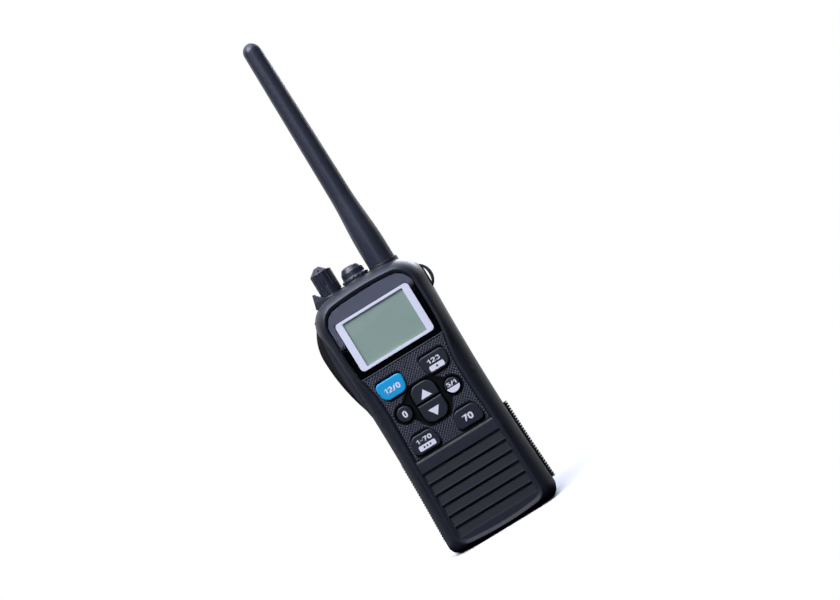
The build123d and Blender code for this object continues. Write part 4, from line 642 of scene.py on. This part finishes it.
def oval(x, z, half_x, half_z, start=0, end=360 - 360 / oval_points, power=0.75):
    """Points on a squarish oval between two angles: cosine and sine raised to a power under one."""
    angles = np.radians(np.linspace(start, end, oval_points))
    flat = [np.sign(v) * np.abs(v) ** power for v in (np.cos(angles), np.sin(angles))]
    return np.stack([x + half_x * flat[0], z + half_z * flat[1]], axis=1)


def bar(wide, high, radius):
    """A bar with round corners, about its middle."""
    corners = []
    for angle, (side, up) in zip((0, 90, 180, 270), ((1, 1), (-1, 1), (-1, -1), (1, -1))):
        centre = (side * (wide / 2 - radius), up * (high / 2 - radius))
        corners += turn(radius, angle, angle + 90, corner_points, centre)
    return corners


def star(radius):
    """A five-pointed star, about its middle: ten points 36 degrees apart, every second one a notch."""
    return [turn(radius * (star_waist if i % 2 else 1), 90 + 36 * i, 90 + 36 * i, 1)[0] for i in range(10)]


# ======================================================================== near-black washers under the knobs, painted shade
deck_z = float(node_box("volume_knob")[0][2]) - knob_gap    # of the deck that the knobs turn over
washer_sunk = 0.2            # into the deck
washer_gap = 0.06            # from the washer to the knob
washer_inset = 0.35          # from the knob's edge to the washer's
washer_square = 0.4          # power of the section's sine and cosine
washer_open = 345            # degrees round the section from its first point to its last
washer_columns = 96          # round the knob's axis


def shade_washer(name, knob):
    """A near-black washer under a knob, turned about the knob's axis: painted shade that fills the gap
    there.
    Its section is a squarish oval:
    radius = middle + half width * cos(t) ** washer_square and
    height = middle + half height * sin(t) ** washer_square, with the signs of cosine and sine kept."""
    low, high = node_box(knob)
    axis_x, axis_y = (low[0] + high[0]) / 2, (low[1] + high[1]) / 2
    outer, inner = (high[0] - low[0]) / 2 - washer_inset, shaft_clear
    foot, top = deck_z - washer_sunk, low[2] - washer_gap
    middle, half = ((outer + inner) / 2, (foot + top) / 2), ((outer - inner) / 2, (top - foot) / 2)
    section = oval(*middle, *half, 0, washer_open, washer_square)
    angles = np.linspace(0, 2 * np.pi, washer_columns, endpoint=False)[:, None]
    radius, height = section[:, 0], section[:, 1]
    x = axis_x + radius * np.cos(angles)
    y = axis_y + radius * np.sin(angles)
    z = np.broadcast_to(height, x.shape)
    points = np.stack([x, y, z], axis=-1).reshape(-1, 3)
    index = np.arange(x.size).reshape(x.shape)
    round_on, along_on = np.roll(index, -1, axis=0), np.roll(index, -1, axis=1)
    both_on = np.roll(round_on, -1, axis=1)
    faces = np.stack([index, round_on, both_on, along_on], axis=-1).reshape(-1, 4)
    dress(mesh_piece(name, points, faces), "radio", gap_shade_skin)


shade_washer("volume_shade_washer", "volume_knob")
shade_washer("squelch_shade_washer", "squelch_knob")


# ======================================================================== prints on the keys
print_proud = 0.02         # from a key's crown to the face of its print
print_deep = 0.05          # into the key
crown_y = float(node_box("key_star")[0][1])


def raise_print(name, flat, body, x, z):
    """Stands a flat filled curve on a key's crown, centred at (x, z), and makes it a thin printed film."""
    flat.dimensions = "2D"
    flat.fill_mode = "BOTH"
    flat.extrude = (print_proud + print_deep) / 2
    drawn = put(name + "_drawing", flat)
    bpy.context.view_layer.update()
    mesh = bpy.data.meshes.new_from_object(drawn.evaluated_get(bpy.context.evaluated_depsgraph_get()))
    bpy.data.objects.remove(drawn)
    points = np.zeros(len(mesh.vertices) * 3)
    mesh.vertices.foreach_get("co", points)
    points = points.reshape(-1, 3)
    points -= (points.min(axis=0) + points.max(axis=0)) / 2
    middle = crown_y + (print_deep - print_proud) / 2
    placed = np.stack([x + points[:, 0], middle - points[:, 2], z + points[:, 1]], axis=1) * MM
    mesh.vertices.foreach_set("co", placed.ravel())
    mesh.update()
    mesh.name = name
    dress(put(name, mesh), body, white_print)


def filled(name, body, outlines, x, z):
    """A print with straight or sampled outlines; an outline inside another is a hole."""
    flat = bpy.data.curves.new(name, "CURVE")
    for outline in outlines:
        spline = flat.splines.new("POLY")
        spline.points.add(len(outline) - 1)
        spline.points.foreach_set("co", np.array([(a, b, 0, 1) for a, b in outline], float).ravel())
        spline.use_cyclic_u = True
    raise_print(name, flat, body, x, z)


sharpest = 0.6             # least value of 1 + a bend's cosine, so that a sharp bend has no long point
cap_points = 24            # round a stroke's open end


def strip(path, half, closed):
    """Points and faces of a band of even width along a path in a plane, with round ends if it is open."""
    path = np.asarray(path, float)
    ahead = np.roll(path, -1, axis=0) - path if closed else np.diff(path, axis=0)
    ahead /= np.linalg.norm(ahead, axis=1, keepdims=True)
    behind = np.roll(ahead, 1, axis=0) if closed else np.vstack([ahead[:1], ahead])
    ahead = ahead if closed else np.vstack([ahead, ahead[-1:]])
    along = ahead + behind
    along /= np.maximum(np.sum(along * ahead, axis=1, keepdims=True), sharpest)
    across = np.stack([-along[:, 1], along[:, 0]], axis=1) * half
    points = np.vstack([path + across, path - across])
    count = len(path)
    step = np.arange(count if closed else count - 1)
    after = (step + 1) % count
    faces = np.stack([step, step + count, after + count, after], axis=1).tolist()
    for end in () if closed else (path[0], path[-1]):
        first = len(points)
        points = np.vstack([points, end + np.array(turn(half, 0, 360 - 360 / cap_points, cap_points))])
        faces.append(list(range(first, first + cap_points)))
    return points, faces


strokes = {                # of each figure, in a cell one high: its width, then (path, closed)
    "0": (0.6, [(oval(0.3, 0.5, 0.22, 0.42), True)]),
    "1": (0.42, [([(0.04, 0.72), (0.28, 0.92), (0.28, 0.08)], False)]),
    "2": (0.6, [(np.vstack([oval(0.3, 0.68, 0.22, 0.24, 165, -35), [(0.08, 0.08), (0.53, 0.08)]]), False)]),
    "3": (0.6, [
        (oval(0.29, 0.7, 0.2, 0.22, 150, -85), False),
        (oval(0.29, 0.29, 0.22, 0.21, 85, -150), False),
    ]),
    "5": (0.6, [
        ([(0.5, 0.92), (0.12, 0.92), (0.1, 0.54)], False),
        (oval(0.28, 0.33, 0.23, 0.25, 130, -140), False),
    ]),
    "7": (0.56, [([(0.06, 0.92), (0.5, 0.92), (0.22, 0.08)], False)]),
    "-": (0.4, [([(0.08, 0.5), (0.32, 0.5)], False)]),
    "/": (0.44, [([(0.06, 0.0), (0.38, 1.0)], False)]),
}
stroke_half = 0.11         # half width of a stroke, in the same cell
figure_space = 0.12        # between two figures


def figures(name, body, text, x, z, wide, high):
    """Plain upright numbers drawn with strokes of even width, as one printed film on a key's crown."""
    points, faces, pen = [], [], 0.0
    for letter in text:
        cell, paths = strokes[letter]
        for path, closed in paths:
            flat, polygons = strip(path, stroke_half, closed)
            first = sum(map(len, points))
            faces += [[first + i for i in polygon] for polygon in polygons]
            points.append(flat + (pen, 0.0))
        pen += cell + figure_space
    flat = np.vstack(points)
    low, top = flat.min(axis=0), flat.max(axis=0)
    flat = (flat - (low + top) / 2) * (wide, high) / (top - low)
    y = np.full(len(flat), crown_y - print_proud)
    mesh = bpy.data.meshes.new(name)
    mesh.from_pydata((np.stack([x + flat[:, 0], y, z + flat[:, 1]], axis=1) * MM).tolist(), [], faces)
    dress(put(name, mesh), body, white_print)


bar_high, bar_round = 2.4, 0.6
small_high, tall_high = 2.1, 2.9    # figures over a bar, and figures alone on a large key
scan_x, channel_x = -key_column + 0.1, key_column - 0.2
arrow_half, arrow_high = 2.65, 1.9
dot_radius, dot_pitch = 0.45, 1.5
arrow_up = [(-arrow_half, -arrow_high), (arrow_half, -arrow_high), (0.0, arrow_high)]
arrow_down = [(a, -b) for a, b in arrow_up[::-1]]
power_band = turn(3.2, 192, 348, 25)
star_bar = [bar(7.1, bar_high, bar_round), star(0.85)]
scan_dots = [turn(dot_radius, 0, 330, 12, (step * dot_pitch, 0.0)) for step in (-1, 0, 1)]
scan_bar = [bar(8.1, bar_high, bar_round)] + scan_dots

# the last four values of figures are its middle and its size, and the last two of filled its middle
figures("print_sixteen", "key_sixteen", "12/0", -key_column, row_high - 0.3, 7.6, tall_high)
figures("print_star_figures", "key_star", "123", key_column, row_high + 1.1, 6.0, small_high)
filled("print_star_bar", "key_star", star_bar, key_column, row_high - 2.0)
figures("print_function", "key_function", "0", -round_column, row_mid, 2.1, 3.0)
figures("print_power", "key_power", "5/1", round_column, row_mid + 1.0, 4.6, 2.2)
filled("print_power_band", "key_power", [power_band], round_column, row_mid - 1.8)
filled("print_up", "key_up", [arrow_up], 0.0, row_mid + 3.4)
filled("print_down", "key_down", [arrow_down], 0.0, row_mid - 5.7)
figures("print_scan_figures", "key_scan", "1-70", scan_x, row_low + 1.3, 7.4, small_high)
filled("print_scan_bar", "key_scan", scan_bar, scan_x, row_low - 1.8)
figures("print_channel", "key_channel", "70", channel_x, row_low - 0.3, 4.9, tall_high)


# ======================================================================== studio
camera_distance = 900.0
camera_azimuth = math.radians(3.0)
camera_roll = math.radians(-31.62)
look_height = 70.0
look_shift = (18.5, 33.1)  # of the point looked at, along the unrolled right and up
focal_pixels = 2058.0      # focal length, in pixels of a frame that is frame_pixels wide
frame_pixels = 840.0
sensor_width = 36.0
near_clip = 50.0


def place_camera():
    """A long lens in front of the face, rolled so that the radio leans."""
    right = Vector((math.cos(camera_azimuth), math.sin(camera_azimuth), 0))
    up = Vector((0, 0, 1))
    back = Vector((math.sin(camera_azimuth), -math.cos(camera_azimuth), 0))
    target = Vector((0, 0, look_height)) + right * look_shift[0] + up * look_shift[1]
    centre = (target + back * camera_distance) * MM
    turned_right = right * math.cos(camera_roll) + up * math.sin(camera_roll)
    turned_up = up * math.cos(camera_roll) - right * math.sin(camera_roll)
    lens = bpy.data.cameras.new("camera")
    lens.sensor_width = sensor_width
    lens.lens = focal_pixels / frame_pixels * sensor_width
    lens.clip_start = near_clip * MM
    camera = put("camera", lens)
    axes = Matrix((turned_right, turned_up, back)).transposed().to_4x4()
    camera.matrix_world = Matrix.Translation(centre) @ axes
    bpy.context.scene.camera = camera


def soft_box(name, centre, aim, size, radiance, tint, tilt=0.0):
    """A rectangular lamp at centre that faces aim, tilted in its own plane. Its power is pi x area x
    radiance."""
    lamp = bpy.data.lights.new(name, "AREA")
    lamp.shape = "RECTANGLE"
    lamp.size, lamp.size_y = (s * MM for s in size)
    lamp.energy = math.pi * lamp.size * lamp.size_y * radiance
    lamp.color = linear(tint)[:3]
    box = put(name, lamp)
    facing = (Vector(aim) - Vector(centre)).to_track_quat("-Z", "Y").to_matrix()
    facing = facing @ Matrix.Rotation(tilt, 3, "Z")
    box.matrix_world = Matrix.Translation(Vector(centre) * MM) @ facing.to_4x4()
    box.visible_camera = False


floor_reach = 4000.0
floor_bounce = "505154"    # of the paper, where it lights the radio
shadow_near, shadow_far = 20.0, 150.0    # the paper turns from seen paper to plain white between these


def paper_floor():
    """Pale paper. It keeps the radio's shadow, and far from the radio it is seen plain white. As a lamp it
    is darker, so that it doesn't light the radio from below."""
    corners = [(floor_reach * a, floor_reach * b, 0) for a, b in ((-1, -1), (1, -1), (1, 1), (-1, 1))]
    piece = mesh_piece("paper_floor", corners, [[0, 1, 2, 3]], smooth=False)
    material, tree, place = new_material("matt_paper")
    camera = add(tree, "LightPath").outputs["Is Camera Ray"]
    tone = blend_colour(tree, camera, linear(floor_bounce), linear("f4f4f6"))
    paper = add(tree, "BsdfDiffuse", {"Color": tone})
    plain = add(tree, "Emission", {"Color": linear("ffffff")})
    away = add(tree, "VectorMath", {0: place}, operation="LENGTH").outputs["Value"]
    share = times(tree, between(tree, away, 0.0, 1.0, shadow_near * MM, shadow_far * MM), camera)
    shade(tree, add(tree, "MixShader", {0: share, 1: paper.outputs[0], 2: plain.outputs[0]}).outputs[0])
    piece.data.materials.append(material)


def looked_at(tree):
    """1 where the camera, a gloss or a clear piece looks, and 0 where a surface gathers light."""
    path = add(tree, "LightPath")
    seen = path.outputs["Is Camera Ray"]
    for ray in ("Is Glossy Ray", "Is Transmission Ray"):
        seen = add(tree, "Math", {0: seen, 1: path.outputs[ray]}, operation="MAXIMUM").outputs[0]
    return seen


room_light = 0.5


def room():
    """An even pale room: white where it is looked at, softer as a lamp."""
    world = bpy.data.worlds.new("pale_room")
    bpy.context.scene.world = world
    world.use_nodes = True
    tree = world.node_tree
    tree.nodes.clear()
    strength = between(tree, looked_at(tree), room_light, 1.0)
    light = add(tree, "Background", {"Color": linear("ffffff"), "Strength": strength})
    add(tree, "OutputWorld", {"Surface": light.outputs[0]})


curtain_half = 1400.0
curtain_front, curtain_back = -1250.0, 350.0
curtain_low, curtain_top = 0.4, 1900.0


def dark_curtain():
    """Black cloth hung on three sides and laid over the table, which the radio mirrors and gathers as
    black. The camera looks past it, and it casts no shadow on the paper."""
    half, front, back = curtain_half, curtain_front, curtain_back
    line = [(-half, back), (-half, front), (half, front), (half, back)]
    points = [(x, y, z) for z in (curtain_low, curtain_top) for x, y in line]
    faces = [[i, i + 1, i + 5, i + 4] for i in range(3)] + [[0, 1, 2, 3]]
    piece = mesh_piece("dark_curtain", points, faces, smooth=False)
    material, tree, _ = new_material("black_velvet")
    shade(tree, add(tree, "BsdfDiffuse", {"Color": linear("0b0b0c")}).outputs[0])
    piece.data.materials.append(material)
    piece.visible_camera = False
    piece.visible_shadow = False


front_low = (-28.6, 120.9)     # x and z of a point on the lower edge of the softbox that the window mirrors
front_slide = -20.0            # from that point along the edge to the edge's middle
front_tilt = math.radians(11.7)
front_size = (300.0, 260.0)
front_y = -1000.0
front_radiance = 3.7


def front_place():
    """Where the front softbox stands, so that its tilted lower edge runs through front_low, and the point
    straight behind it on the radio's middle plane, which it faces."""
    along = (math.cos(front_tilt), math.sin(front_tilt))
    up = (-along[1], along[0])
    half_high = front_size[1] / 2
    x, z = (low + front_slide * a + half_high * u for low, a, u in zip(front_low, along, up))
    return (x, front_y, z), (x, 0.0, z)


other_lamps = [            # name, place, the point that it faces, width and height, radiance, tint
    ("key_softbox", (-350.0, -700.0, 1000.0), (0.0, 0.0, 60.0), (900.0, 700.0), 10.5, "fbf8ff"),
    ("overhead_softbox", (-100.0, -250.0, 1150.0), (0.0, 0.0, 80.0), (1000.0, 1000.0), 4.5, "ccd8ff"),
    ("back_softbox", (500.0, 900.0, 700.0), (0.0, 0.0, 60.0), (900.0, 700.0), 9.0, "eef1ff"),
]

place_camera()
paper_floor()
room()
dark_curtain()
soft_box("front_softbox", *front_place(), front_size, front_radiance, "ccd5ff", front_tilt)
for lamp_settings in other_lamps:
    soft_box(*lamp_settings)

bpy.context.scene.view_settings.view_transform = "Standard"
